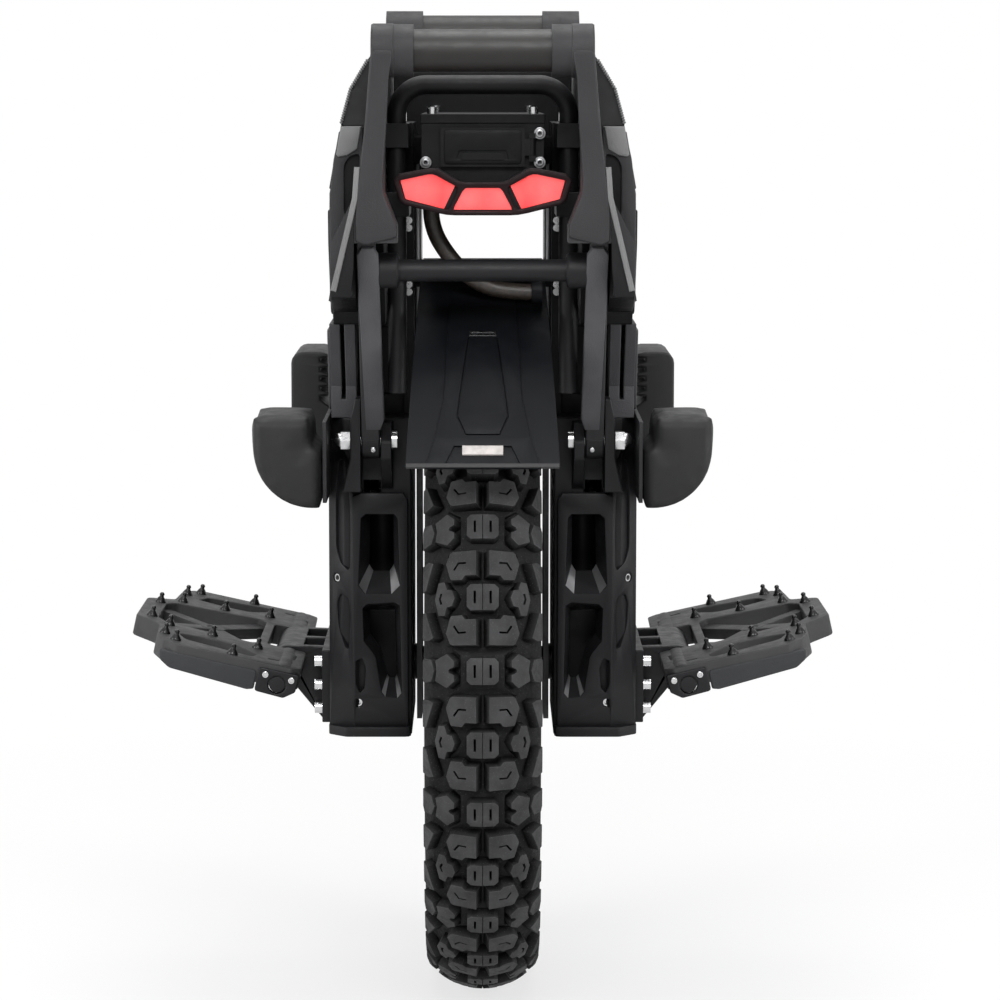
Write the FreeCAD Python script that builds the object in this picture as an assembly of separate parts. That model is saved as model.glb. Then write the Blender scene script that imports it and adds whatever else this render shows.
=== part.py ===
import FreeCAD, Part
import math
import os

# Electric unicycle with a sprung body, millimetres.
# X is to the right seen from behind, Y is forward, Z is up.
# The origin is on the ground, below the middle of the wheel.

# Wheel and motor
TYRE_RADIUS = 254.0
TYRE_HALF = 43.0
TYRE_WALL = 6.0
CARCASS_HALF = 42.0
CARCASS_INSET = 1.0
TREAD_DEPTH = 8.0
CROWN_WALL = 10.0
SHOULDER_CUT = 6.0
SHOULDER_WALL = 8.0
TREAD_PERIODS = 15
TREAD_START = 57.9
LUG_STAND = 4.0
SHOULDER_DROP = 18.0
TYRE_HEIGHT = 76.0
RIM_HALF = 38.0
RIM_LIP = 4.0
RIM_LIP_HEIGHT = 8.0
RIM_WELL_DEPTH = 10.0
RIM_WELL_RUN = 13.0
RIM_DEPTH = 56.0
STATOR_HALF = 20.0
AIR_GAP = 0.8
MAGNET_DEPTH = 5.0
MAGNET_COUNT = 30
TOOTH_COUNT = 18
TOOTH_WIDTH_SHARE = 12.0 / 122.0
TOOTH_HEIGHT_SHARE = 22.0 / 122.0
TOOTH_HEAD_SHARE = 26.0 / 122.0
TOOTH_HEAD_DEPTH = 5.0
CORE_DEPTH = 14.0
STATOR_WEB_HALF = 6.0
WINDING_SHARE = 7.0 / 122.0
WINDING_OVERHANG = 6.2
WINDING_FIT = 0.2
COVER_THICK = 10.0
COVER_LEDGE = 20.0
COVER_SCREW_COUNT = 12
COVER_SCREW_RADIUS = 2.5
COVER_SCREW_LENGTH = 18.0
COVER_HEAD_RADIUS = 4.5
COVER_HEAD_HEIGHT = 2.5
BEARING_RADIUS = 26.0
JOURNAL_RADIUS = 12.0
STATOR_SEAT_RADIUS = 16.0
AXLE_RADIUS = 10.0
AXLE_BORE = 4.0

# Fits and gaps
SEAT_FIT = 0.1
RUNNING_FIT = 0.05
SLIDE_FIT = 0.3

# Suspension
TRAVEL = 50.0
SLIDER_GAP = 4.0
SLIDER_THICK = 4.0
SLIDER_HALF = 30.0
SLIDER_DROP = 40.0
RIB_HALF = 8.0
RIB_DEPTH = 4.0
COLUMN_GAP = 1.0
COLUMN_THICK = 8.0
COLUMN_HALF = 50.0
BLOCK_HALF = 32.0
BLOCK_DROP = 30.0
BLOCK_RISE = 46.0
BLOCK_THICK = 28.0
BLOCK_BOSS = 14.0
NUT_THICK = 12.0
NUT_ACROSS = 27.0
SHOCK_RADIUS = 12.0
SHOCK_FOOT_HEIGHT = 16.0
SHOCK_CLEAR = 9.0
SHOCK_BORE_DEPTH = 70.0
SHOCK_ROD_RADIUS = 5.0
SHOCK_ROD_HOLD = 14.0

# Legs
LEG_INSET = 2.0
LEG_WIDTH = 61.0
LEG_WALL = 8.0
LEG_DROP = 45.0
LEG_TOP_DROP = 55.0
LEG_HALF_TOP = 80.0
LEG_HALF_FOOT = 68.0
LEG_WAIST = 121.0
LEG_FLOOR = 8.0
LEG_ROOF = 10.0
WINDOW_WIDTH = 31.0
UPPER_WINDOW_FOOT = 113.0
UPPER_WINDOW_HEIGHT = 69.0
LOWER_WINDOW_FOOT = 32.0
LOWER_WINDOW_HEIGHT = 74.0
LOWER_WINDOW_STEP = 18.0
LOWER_WINDOW_BEND = 34.0
WINDOW_CUT = 6.0
CLEVIS_WINDOW_DROP = 57.0
CLEVIS_WINDOW_HEIGHT = 10.0
LEG_BEVEL_X = 10.0
LEG_BEVEL_Y = 14.0
SLOT_GAP = 1.0
ACCESSORY_HOLE_RADIUS = 2.5
ACCESSORY_HOLE_SPACING = 40.0
ACCESSORY_HOLE_RISE = 74.0

# Rear stays and their pivots
STAY_INSET = 23.0
STAY_WIDTH = 13.0
STAY_DEPTH = 26.0
STAY_TOP_Y = -184.0
PIVOT_SET_BACK = 15.0
PIVOT_DROP = 15.0
PIVOT_RADIUS = 5.0
BARREL_RADIUS = 13.0
CLEVIS_THICK = 8.0
CLEVIS_GAP = 1.0
CLEVIS_DROP = 38.0
FIN_RISE = 17.0
PIVOT_HEAD_RADIUS = 7.0
PIVOT_HEAD_HEIGHT = 4.0
CAP_NUT_LENGTH = 13.0
CAP_NUT_ACROSS = 13.0
CAP_NUT_STEP = 0.7
CAP_NUT_HOLD = 7.0
CROSS_TUBE_RADIUS = 8.0
CROSS_TUBE_DROP = 21.0
CROSS_COLLAR_RADIUS = 10.0
CROSS_COLLAR_LENGTH = 17.0

# Side frames, shells and batteries
SIDE_FRAME_HEIGHT = 73.0
SIDE_FRAME_HALF = 78.0
SIDE_FRAME_FLARE = 30.0
SIDE_FRAME_WEB = 14.0
SIDE_FRAME_STRAIGHT = 24.0
SIDE_PLATE = 8.0
SIDE_PLATE_GAP = 3.0
SIDE_FRAME_OUT = 114.0
SHELL_IN = 72.0
SHELL_OUT = 110.5
SHELL_WALL = 3.0
SHELL_HEIGHT = 147.0
SHELL_SHOULDER = 98.0
SHELL_TOP_OUT = 102.0
SHELL_HALF_TOP = 168.0
SHELL_HALF_FOOT = 118.0
SHELL_SLANT_HEIGHT = 74.0
UPPER_HEIGHT = 50.0
UPPER_TOP_OUT = 81.0
UPPER_CROWN_OUT = 95.0
UPPER_CROWN_HEIGHT = 27.0
UPPER_END_SLOPE = 22.0
BATTERY_GAP = 1.0

# Handles and pillars
PILLAR_DEPTH = 36.0
PILLAR_TOP_IN = 66.5
PILLAR_TOP_OUT = 79.0
PILLAR_FOOT_RISE = 64.0
PILLAR_NECK_OUT = 84.5
PILLAR_NECK_IN = 70.0
PILLAR_NECK_DROP = 7.0
PILLAR_KNEE_OUT = 90.0
PILLAR_KNEE_RISE = 36.0
PILLAR_TOE_IN = 61.0
PILLAR_TOE_RISE = 12.0
PILLAR_FLARE_OUT = 108.0
PILLAR_FLARE_DROP = 38.0
PILLAR_FLARE_WIDTH = 14.0
BAR_RADIUS = 15.0
BAR_HALF = 49.0
BAR_SET_BACK = 24.0
BOSS_RADIUS = 18.5
SPIGOT_RADIUS = 9.0
SPIGOT_LENGTH = 18.0
REAR_BAR_RISE = 53.0
FRONT_BAR_RISE = 71.0
TROLLEY_X = 63.0
TROLLEY_Y = -120.0
TROLLEY_RADIUS = 7.0
TROLLEY_BEND = 22.0
TROLLEY_TOP_RISE = 29.0
TROLLEY_LEG = 226.0
GUIDE_HEIGHT = 18.0
GUIDE_HALF = 9.0
GUIDE_SPACING = 50.0

# Controller box, lid, dash and lights
BOX_GAP = 43.0
BOX_HALF = 44.4
BOX_REAR = -145.0
BOX_FRONT = 68.0
BOX_HEIGHT = 62.0
BOX_WALL = 3.0
BOX_EAR_NEAR = 34.0
BOX_EAR_FAR = 46.0
BOX_EAR_HEIGHT = 20.0
LID_THICK = 7.0
LID_RIM = 1.0
LID_POST_X = 37.0
LID_POST_RADIUS = 3.5
LID_POST_HEIGHT = 5.0
BOARD_THICK = 4.0
BOARD_STANDOFF = 6.0
BOARD_PART_HEIGHT = 18.0
DOOR_HALF = 30.6
DOOR_THICK = 5.0
DOOR_HEIGHT = 28.0
DOOR_TOP_GAP = 3.0
DOOR_HINGE_X = 36.0
DOOR_PIN_RADIUS = 2.0
DOOR_KNUCKLE_RADIUS = 2.4
DOOR_KNUCKLE_HEIGHT = 12.0
DOOR_LUG_HEIGHT = 4.0
LIGHT_DEPTH = 25.0
LENS_DEPTH = 5.0
LIGHT_OUTLINE = [(14.4, 19.8), (32.5, 30.3), (62.4, 23.0), (56.5, 4.7), (25.8, -2.9)]
SIDE_LENS_OUTLINE = [(19.7, 18.4), (33.4, 27.5), (59.5, 22.7), (55.5, 8.3), (27.9, 1.2)]
CENTRE_LENS_OUTLINE = [(14.9, 16.2), (21.3, 0.7)]
DASH_HALF = 58.0
DASH_FRONT = 190.0
DASH_HEIGHT = 100.0
DASH_WALL = 3.0
DASH_NOSE_HEIGHT = 68.0
DASH_NOSE_RUN = 40.0
DASH_TAIL_HEIGHT = 78.0
DASH_TAIL_RUN = 22.0
DASH_PORT_HALF = 26.0
DASH_PORT_MARGIN = 12.0
DISPLAY_HALF = 30.0
DISPLAY_LENGTH = 46.0
DISPLAY_THICK = 2.0
HEADLIGHT_HALF = 36.0
HEADLIGHT_HEIGHT = 38.0
HEADLIGHT_RISE = 16.0
HEADLIGHT_THICK = 5.0
BUTTON_RADIUS = 7.0
BUTTON_TRAVEL = 1.5
BUTTON_X = 44.0
BUTTON_FLANGE = 2.0

# Mudguard and motor cable
MUD_CLEAR = 8.0
MUD_WALL = 3.0
MUD_SIDE_GAP = 1.0
MUD_HALF_LIP = 55.0
MUD_LIP_ANGLE = 29.0
MUD_WING_DEPTH = 14.0
MUD_WING_ROOT = 2.0
REFLECTOR_ANGLE = 31.8
REFLECTOR_HALF = 14.5
REFLECTOR_HEIGHT = 7.0
REFLECTOR_THICK = 2.0
CABLE_RADIUS = 6.0
CLIP_WALL = 4.0
CLIP_LENGTH = 8.0
CLIP_RISE = 8.722
CABLE_POINTS = [(-38.0, -118.0, 0.0), (-38.0, -118.0, 21.0 / 62.0), (-29.0, -119.0, 40.0 / 62.0),
                (-10.0, -119.0, 56.0 / 62.0), (16.0, -118.0, 1.0), (44.0, -118.0, 1.0)]
CABLE_BEND_SHARE = 0.45

# Leg pads
PAD_PLATE = 3.0
PAD_THICK = 52.0
PAD_DROP = 62.0
PAD_HEIGHT = 70.0
PAD_NEAR = 60.0
PAD_FAR = 150.0
PAD_ROUND = 45.0
PAD_CROWN = 4.0
PAD_END = 10.0
SHIN_THICK = 34.0
SHIN_HEIGHT = 101.0
SHIN_TOOTH = 3.0
SHIN_TOOTH_COUNT = 5
SHIN_TOOTH_PITCH = 7.0
PAD_PLATE_NEAR = 20.0
PAD_PLATE_FAR = 140.0
PAD_PLATE_MARGIN = 5.0

# Pedals
HANGER_THICK = 8.0
HANGER_HALF = 62.0
HANGER_DROP = 37.0
HANGER_RISE = 19.0
HANGER_BOLT_Y = 52.0
HANGER_BOLT_EDGE = 10.0
HANGER_BOLT_PITCH = 18.0
HANGER_BOLT_ROWS = 3
HANGER_RIB = 8.0
PEDAL_PIVOT_OUT = 27.0
PEDAL_PIVOT_RISE = 8.0
PEDAL_PIN_RADIUS = 5.0
LUG_HALF = 46.0
LUG_RADIUS = 12.0
PEDAL_TILT = 12.5
PEDAL_HALF = 131.0
PEDAL_NOSE_HALF = 50.0
PEDAL_REACH = 124.0
PEDAL_CORNER_REACH = 94.0
PEDAL_TAIL = 14.0
PEDAL_TOP = 10.0
PEDAL_BOTTOM = 6.0
PEDAL_RIM = 17.0
PEDAL_BARREL = 11.0
PEDAL_LUG_GAP = 1.0
PEDAL_NOTCH = 18.0
SPIKE_RADIUS = 3.0
SPIKE_HEIGHT = 8.0
SPIKE_SHANK = 1.6
SPIKE_SINK = 6.0
SPIKE_ROW_COUNT = 6

# Screws
SCREW_HEAD_RADIUS = 4.5
SCREW_HEAD_HEIGHT = 6.0
SCREW_SHANK_RADIUS = 3.0
SMALL_HEAD_RADIUS = 2.8
SMALL_HEAD_HEIGHT = 3.0
LID_SCREW_SHANK = 2.0

# Places that follow from the sizes above
AXLE_Z = TYRE_RADIUS
RIM_SEAT = TYRE_RADIUS - TYRE_HEIGHT

# Tread lugs: nearest and farthest from the middle, place in a period, length and depth of the root
TREAD_LUGS = [(-11.4, 11.4, 0.0, 19.0, 11.0), (-11.4, 11.4, 0.5, 19.0, 11.0),
              (21.0, 34.0, 0.0, 24.0, 21.5), (21.0, 34.0, 0.5, 24.0, 21.5),
              (5.0, 25.0, 0.27, 20.0, 16.0), (5.0, 25.0, 0.73, 20.0, 16.0),
              (37.0, 43.5, 0.0, 18.0, 30.0), (37.0, 43.5, 0.32, 21.0, 30.0), (37.0, 43.5, 0.68, 21.0, 30.0)]
STATOR_RADIUS = RIM_SEAT - RIM_DEPTH
TOOTH_WIDTH = STATOR_RADIUS * TOOTH_WIDTH_SHARE
TOOTH_HEIGHT = STATOR_RADIUS * TOOTH_HEIGHT_SHARE
TOOTH_HEAD_WIDTH = STATOR_RADIUS * TOOTH_HEAD_SHARE
WINDING_DEPTH = STATOR_RADIUS * WINDING_SHARE
RIM_DRUM = STATOR_RADIUS + AIR_GAP + MAGNET_DEPTH
COVER_IN = RIM_HALF - COVER_THICK
COVER_RADIUS = RIM_DRUM + COVER_LEDGE
COVER_SCREW_CIRCLE = RIM_DRUM + COVER_LEDGE / 2
SLIDER_IN = TYRE_HALF + SLIDER_GAP
SLIDER_OUT = SLIDER_IN + SLIDER_THICK
COLUMN_IN = SLIDER_OUT + COLUMN_GAP
COLUMN_OUT = COLUMN_IN + COLUMN_THICK
LEG_IN = COLUMN_IN + LEG_INSET
LEG_OUT = LEG_IN + LEG_WIDTH
LEG_BOTTOM = AXLE_Z - LEG_DROP
LEG_TOP = AXLE_Z + TYRE_RADIUS - LEG_TOP_DROP
CAVITY_IN = LEG_IN + LEG_WALL
CAVITY_OUT = LEG_OUT - LEG_WALL
BLOCK_IN = CAVITY_IN + 2 * COLUMN_GAP
BLOCK_OUT = BLOCK_IN + BLOCK_THICK
AXLE_END = BLOCK_OUT + NUT_THICK + COLUMN_GAP
SHOCK_X = (BLOCK_IN + BLOCK_OUT) / 2
SHOCK_FOOT_Z = AXLE_Z + BLOCK_RISE
SHOCK_TOP_Z = LEG_TOP - LEG_ROOF - TRAVEL - SHOCK_CLEAR
STAY_IN = LEG_IN + STAY_INSET
STAY_OUT = STAY_IN + STAY_WIDTH
PIVOT_Y = -LEG_HALF_TOP - PIVOT_SET_BACK
PIVOT_Z = LEG_TOP - PIVOT_DROP
SHELL_BOTTOM = LEG_TOP + SIDE_FRAME_HEIGHT
SHELL_SEAM = SHELL_BOTTOM + SHELL_HEIGHT
PILLAR_FOOT_Z = SHELL_BOTTOM + PILLAR_FOOT_RISE
BAR_Y = SHELL_HALF_TOP + BAR_SET_BACK
TROLLEY_TOP_Z = SHELL_SEAM + TROLLEY_TOP_RISE
UPPER_TOP = SHELL_SEAM + UPPER_HEIGHT
CLEVIS_IN = STAY_IN - CLEVIS_GAP - CLEVIS_THICK
FIN_IN = STAY_OUT + CLEVIS_GAP
FIN_OUT = FIN_IN + CLEVIS_THICK
MUD_CENTRE_Z = AXLE_Z + TRAVEL
MUD_INNER = TYRE_RADIUS + MUD_CLEAR
MUD_HALF_TOP = SLIDER_IN - MUD_SIDE_GAP
MUD_OUTER = MUD_INNER + MUD_WALL
BOX_BOTTOM = MUD_CENTRE_Z + MUD_OUTER + BOX_GAP
BOX_TOP = BOX_BOTTOM + BOX_HEIGHT
LID_TOP = BOX_TOP + LID_THICK
DASH_TOP = BOX_BOTTOM + DASH_HEIGHT
COLUMN_TOP = BOX_TOP
SLIDER_TOP = COLUMN_TOP - 2 * RIB_HALF
LIGHT_REAR = BOX_REAR - LIGHT_DEPTH
HANGER_OUT = LEG_OUT + HANGER_THICK
PIVOT_X = HANGER_OUT + PEDAL_PIVOT_OUT
PEDAL_PIVOT_Z = AXLE_Z + PEDAL_PIVOT_RISE
HANGER_FOOT_Z = AXLE_Z - HANGER_DROP
PAD_FOOT_Z = LEG_TOP - PAD_DROP
PAD_IN = LEG_OUT + PAD_PLATE

RIGHT = 1
LEFT = -1
ORIGIN = FreeCAD.Vector(0, 0, 0)
AXIS_X = FreeCAD.Vector(1, 0, 0)
AXIS_Y = FreeCAD.Vector(0, 1, 0)
AXIS_Z = FreeCAD.Vector(0, 0, 1)
WHEEL_CENTRE = FreeCAD.Vector(0, 0, AXLE_Z)


def box(x_range, y_range, z_range):
    """A box between two values on each axis."""
    low = FreeCAD.Vector(min(x_range), min(y_range), min(z_range))
    high = FreeCAD.Vector(max(x_range), max(y_range), max(z_range))
    size = high - low
    return Part.makeBox(size.x, size.y, size.z, low)


def rod_x(radius, x_range, y, z):
    """A round rod along X."""
    start = FreeCAD.Vector(min(x_range), y, z)
    return Part.makeCylinder(radius, max(x_range) - min(x_range), start, AXIS_X)


def rod_y(radius, y_range, x, z):
    """A round rod along Y."""
    start = FreeCAD.Vector(x, min(y_range), z)
    return Part.makeCylinder(radius, max(y_range) - min(y_range), start, AXIS_Y)


def rod_z(radius, z_range, x, y):
    """A round rod along Z."""
    start = FreeCAD.Vector(x, y, min(z_range))
    return Part.makeCylinder(radius, max(z_range) - min(z_range), start, AXIS_Z)


def prism(points, direction):
    """A closed outline of points pushed along a direction."""
    face = Part.Face(Part.makePolygon(points + [points[0]]))
    return face.extrude(direction)


def prism_xz(outline, y_range):
    """An outline seen from behind, as deep as the range of Y."""
    points = [FreeCAD.Vector(x, min(y_range), z) for x, z in outline]
    return prism(points, AXIS_Y * (max(y_range) - min(y_range)))


def prism_yz(outline, x_range):
    """An outline seen from the side, as wide as the range of X."""
    points = [FreeCAD.Vector(min(x_range), y, z) for y, z in outline]
    return prism(points, AXIS_X * (max(x_range) - min(x_range)))


def prism_xy(outline, z_range):
    """An outline seen from above, as tall as the range of Z."""
    points = [FreeCAD.Vector(x, y, min(z_range)) for x, y in outline]
    return prism(points, AXIS_Z * (max(z_range) - min(z_range)))


def hexagon_x(across, x_range, y, z):
    """A hexagonal bar along X, measured across its flats."""
    corner = across / 2 / math.cos(math.pi / 6)
    angles = [math.pi / 3 * step for step in range(6)]
    outline = [(y + corner * math.cos(a), z + corner * math.sin(a)) for a in angles]
    return prism_yz(outline, x_range)


def wheel_ring(outline):
    """An outline of (x, radius) points turned about the axle."""
    points = [FreeCAD.Vector(x, 0, AXLE_Z + radius) for x, radius in outline]
    face = Part.Face(Part.makePolygon(points + [points[0]]))
    return face.revolve(WHEEL_CENTRE, AXIS_X, 360)


def around_axle(shape, count, phase=0.0):
    """Copies of a shape spaced evenly about the axle."""
    copies = []
    for step in range(count):
        copy = shape.copy()
        copy.rotate(WHEEL_CENTRE, AXIS_X, phase + 360.0 * step / count)
        copies.append(copy)
    return copies


def mirrored(shape):
    """The same shape on the other side of the wheel."""
    return shape.mirror(ORIGIN, AXIS_X)


def flipped(shape):
    """The same shape at the other end, front for rear."""
    return shape.mirror(ORIGIN, AXIS_Y)


def on_side(shape, side):
    """A right-hand shape as it is, or mirrored for the left."""
    if side == RIGHT:
        return shape
    return mirrored(shape)


def both_sides(shape):
    """A right-hand shape with its left-hand twin."""
    return [shape, mirrored(shape)]


def joined(shapes):
    """One solid from shapes that overlap or share faces."""
    return shapes[0].multiFuse(shapes[1:]).removeSplitter()


def save(node, shapes):
    """Write the separate solids of one node to its own file."""
    solids = []
    for shape in shapes:
        solids.extend(shape.Solids)
    if len(solids) == 1:
        result = solids[0]
    else:
        result = Part.makeCompound(solids)
    result.exportStep(os.path.join("parts", node + ".step"))
    print(node, len(solids), round(result.Volume / 1000.0, 1), result.isValid())


def wheel_point(x, radius):
    """A point of the wheel's cross section above the axle."""
    return FreeCAD.Vector(x, 0, AXLE_Z + radius)


def arc_edge(first, middle, last):
    """A round edge through three points."""
    return Part.Arc(first, middle, last).toShape()


def line_edge(first, last):
    """A straight edge."""
    return Part.LineSegment(first, last).toShape()


def tyre_skin(bead, bead_radius, half, shoulder_half, shoulder, crown):
    """Edges of one skin of the tyre, from the left bead over the crown to the right bead."""
    lip = RIM_SEAT + RIM_LIP_HEIGHT + SEAT_FIT
    bulge = (lip + shoulder) / 2
    edges = [line_edge(wheel_point(-bead, bead_radius), wheel_point(-bead, lip))]
    left = wheel_point(-shoulder_half, shoulder)
    right = wheel_point(shoulder_half, shoulder)
    edges.append(arc_edge(wheel_point(-bead, lip), wheel_point(-half, bulge), left))
    edges.append(arc_edge(left, wheel_point(0, crown), right))
    edges.append(arc_edge(right, wheel_point(half, bulge), wheel_point(bead, lip)))
    edges.append(line_edge(wheel_point(bead, lip), wheel_point(bead, bead_radius)))
    return edges


def tread_lugs():
    """Main lugs of the tread, as deep blocks that reach past the tyre's outline."""
    lugs = []
    top = AXLE_Z + TYRE_RADIUS + LUG_STAND
    for near, far, place, length, root in TREAD_LUGS:
        foot = AXLE_Z + TYRE_RADIUS - root
        angle = TREAD_START + place * 360.0 / TREAD_PERIODS
        right = box((near, far), (-length / 2, length / 2), (foot, top))
        blocks = [right] if near < 0 else [right, mirrored(right)]
        for block in blocks:
            lugs.extend(around_axle(block, TREAD_PERIODS, angle))
    return lugs


def tyre():
    """Hollow tyre with its beads on the rim seats and lugs on its tread."""
    bead = RIM_HALF - RIM_LIP - SEAT_FIT
    bead_radius = RIM_SEAT + SEAT_FIT
    shoulder_half = TYRE_HALF - TYRE_WALL / 2
    shoulder = TYRE_RADIUS - SHOULDER_DROP
    carcass_shoulder = shoulder - SHOULDER_CUT
    outline = tyre_skin(bead, bead_radius, TYRE_HALF, shoulder_half, shoulder, TYRE_RADIUS)
    carcass_half = shoulder_half - CARCASS_INSET
    crown = TYRE_RADIUS - TREAD_DEPTH
    outer = tyre_skin(bead, bead_radius, CARCASS_HALF, carcass_half, carcass_shoulder, crown)
    inner = tyre_skin(bead - TYRE_WALL, bead_radius, CARCASS_HALF - TYRE_WALL, carcass_half - TYRE_WALL,
                      carcass_shoulder - SHOULDER_WALL, crown - CROWN_WALL)
    left = line_edge(wheel_point(-bead, bead_radius), wheel_point(TYRE_WALL - bead, bead_radius))
    right = line_edge(wheel_point(bead, bead_radius), wheel_point(bead - TYRE_WALL, bead_radius))
    wire = Part.Wire(Part.__sortEdges__(outer + inner + [left, right]))
    carcass = Part.Face(wire).revolve(WHEEL_CENTRE, AXIS_X, 360)
    closing = line_edge(wheel_point(-bead, bead_radius), wheel_point(bead, bead_radius))
    border = Part.Wire(Part.__sortEdges__(outline + [closing]))
    envelope = Part.Face(border).revolve(WHEEL_CENTRE, AXIS_X, 360)
    lugs = envelope.common(Part.Compound(tread_lugs())).Solids
    return carcass.fuse(lugs)


def cover_screw(radius, length, head_radius):
    """One cover screw on the right, with its head outside the cover."""
    place = AXLE_Z + COVER_SCREW_CIRCLE
    shank = rod_x(radius, (RIM_HALF - length, RIM_HALF), 0, place)
    head = rod_x(head_radius, (RIM_HALF, RIM_HALF + COVER_HEAD_HEIGHT), 0, place)
    return joined([shank, head])


def cover_screw_holes():
    """Clearance holes for the cover screws on both sides."""
    place = AXLE_Z + COVER_SCREW_CIRCLE
    depth = COVER_SCREW_LENGTH + SEAT_FIT
    hole = rod_x(COVER_SCREW_RADIUS + SEAT_FIT, (RIM_HALF - depth, RIM_HALF), 0, place)
    holes = around_axle(hole, COVER_SCREW_COUNT)
    return holes + [mirrored(one) for one in holes]


def rim():
    """Rim with a well, two bead seats and the motor drum inside it."""
    seat_half = RIM_HALF - RIM_LIP
    lip = RIM_SEAT + RIM_LIP_HEIGHT
    well = RIM_SEAT - RIM_WELL_DEPTH
    well_half = seat_half - RIM_WELL_RUN
    right = [(COVER_IN, RIM_DRUM), (COVER_IN, COVER_RADIUS), (RIM_HALF, COVER_RADIUS), (RIM_HALF, lip),
             (seat_half, lip), (seat_half, RIM_SEAT), (well_half, well)]
    left = [(-x, radius) for x, radius in reversed(right)]
    return wheel_ring(right + left).cut(cover_screw_holes())


def motor_covers():
    """Flat covers that close the motor on both sides and carry the bearings."""
    ring = wheel_ring([(COVER_IN, BEARING_RADIUS + SEAT_FIT), (RIM_HALF, BEARING_RADIUS + SEAT_FIT),
                       (RIM_HALF, COVER_RADIUS - SEAT_FIT), (COVER_IN, COVER_RADIUS - SEAT_FIT)])
    return [cover.cut(cover_screw_holes()) for cover in both_sides(ring)]


def motor_cover_screws():
    """Button-head screws around both covers."""
    screw = cover_screw(COVER_SCREW_RADIUS, COVER_SCREW_LENGTH, COVER_HEAD_RADIUS)
    screws = around_axle(screw, COVER_SCREW_COUNT)
    return screws + [mirrored(one) for one in screws]


def wheel_bearings():
    """A ball bearing's envelope in each cover."""
    inside = JOURNAL_RADIUS + RUNNING_FIT
    ring = wheel_ring([(COVER_IN, inside), (RIM_HALF, inside), (RIM_HALF, BEARING_RADIUS),
                       (COVER_IN, BEARING_RADIUS)])
    return both_sides(ring)


def magnets():
    """Flat-sided magnets on the inside of the drum."""
    inside = STATOR_RADIUS + AIR_GAP
    ring = wheel_ring([(-STATOR_HALF, inside), (STATOR_HALF, inside), (STATOR_HALF, RIM_DRUM),
                       (-STATOR_HALF, RIM_DRUM)])
    width = 2 * math.pi * inside / MAGNET_COUNT - MAGNET_DEPTH
    top = AXLE_Z + RIM_DRUM + MAGNET_DEPTH
    slab = box((-STATOR_HALF, STATOR_HALF), (-width / 2, width / 2), (AXLE_Z, top))
    return around_axle(ring.common(slab), MAGNET_COUNT)


def axle():
    """Stepped axle: stator seat, bearing journals and long ends."""
    seat = rod_x(STATOR_SEAT_RADIUS, (-STATOR_HALF, STATOR_HALF), 0, AXLE_Z)
    journal = rod_x(JOURNAL_RADIUS, (-SLIDER_IN, SLIDER_IN), 0, AXLE_Z)
    ends = rod_x(AXLE_RADIUS, (-AXLE_END, AXLE_END), 0, AXLE_Z)
    lead_bore = rod_x(AXLE_BORE, (STATOR_HALF, AXLE_END), 0, AXLE_Z)
    return joined([seat, journal, ends]).cut(lead_bore)


def tooth_blank(width, low, high, half):
    """A block on the top tooth's centre line, between two radii."""
    return box((-half, half), (-width / 2, width / 2), (AXLE_Z + low, AXLE_Z + high))


def stator():
    """Laminated core with teeth, on a web and a hub around the axle."""
    core_out = STATOR_RADIUS - TOOTH_HEIGHT
    core_in = core_out - CORE_DEPTH
    hub_in = STATOR_SEAT_RADIUS + SEAT_FIT
    hub_out = STATOR_SEAT_RADIUS + CORE_DEPTH
    body = wheel_ring([(-STATOR_HALF, hub_in), (STATOR_HALF, hub_in), (STATOR_HALF, hub_out),
                       (STATOR_WEB_HALF, hub_out), (STATOR_WEB_HALF, core_in), (STATOR_HALF, core_in),
                       (STATOR_HALF, core_out), (-STATOR_HALF, core_out), (-STATOR_HALF, core_in),
                       (-STATOR_WEB_HALF, core_in), (-STATOR_WEB_HALF, hub_out), (-STATOR_HALF, hub_out)])
    stem_out = STATOR_RADIUS - TOOTH_HEAD_DEPTH / 2
    stem = tooth_blank(TOOTH_WIDTH, core_out - CORE_DEPTH / 2, stem_out, STATOR_HALF)
    head_in = STATOR_RADIUS - TOOTH_HEAD_DEPTH
    head = tooth_blank(TOOTH_HEAD_WIDTH, head_in, STATOR_RADIUS + AIR_GAP, STATOR_HALF)
    bound = rod_x(STATOR_RADIUS, (-STATOR_HALF, STATOR_HALF), 0, AXLE_Z)
    tooth = joined([stem, head.common(bound)])
    return joined([body] + around_axle(tooth, TOOTH_COUNT))


def windings():
    """One closed coil around each tooth."""
    low = STATOR_RADIUS - TOOTH_HEIGHT + WINDING_FIT
    high = STATOR_RADIUS - TOOTH_HEAD_DEPTH - WINDING_FIT
    coil = tooth_blank(TOOTH_WIDTH + 2 * WINDING_DEPTH, low, high, STATOR_HALF + WINDING_OVERHANG)
    hollow = tooth_blank(TOOTH_WIDTH + 2 * WINDING_FIT, low, high, STATOR_HALF + WINDING_FIT)
    return around_axle(coil.cut(hollow), TOOTH_COUNT)


def slider_plates():
    """Polished plates on the axle, each with a rib that runs in its column."""
    plate = box((SLIDER_IN, SLIDER_OUT), (-SLIDER_HALF, SLIDER_HALF), (AXLE_Z - SLIDER_DROP, SLIDER_TOP))
    rib_foot = LEG_TOP + RIB_HALF
    rib = box((SLIDER_OUT, SLIDER_OUT + RIB_DEPTH), (-RIB_HALF, RIB_HALF), (rib_foot, SLIDER_TOP))
    hole = rod_x(AXLE_RADIUS + SEAT_FIT, (SLIDER_IN, SLIDER_OUT), 0, AXLE_Z)
    return both_sides(joined([plate, rib]).cut(hole))


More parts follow.
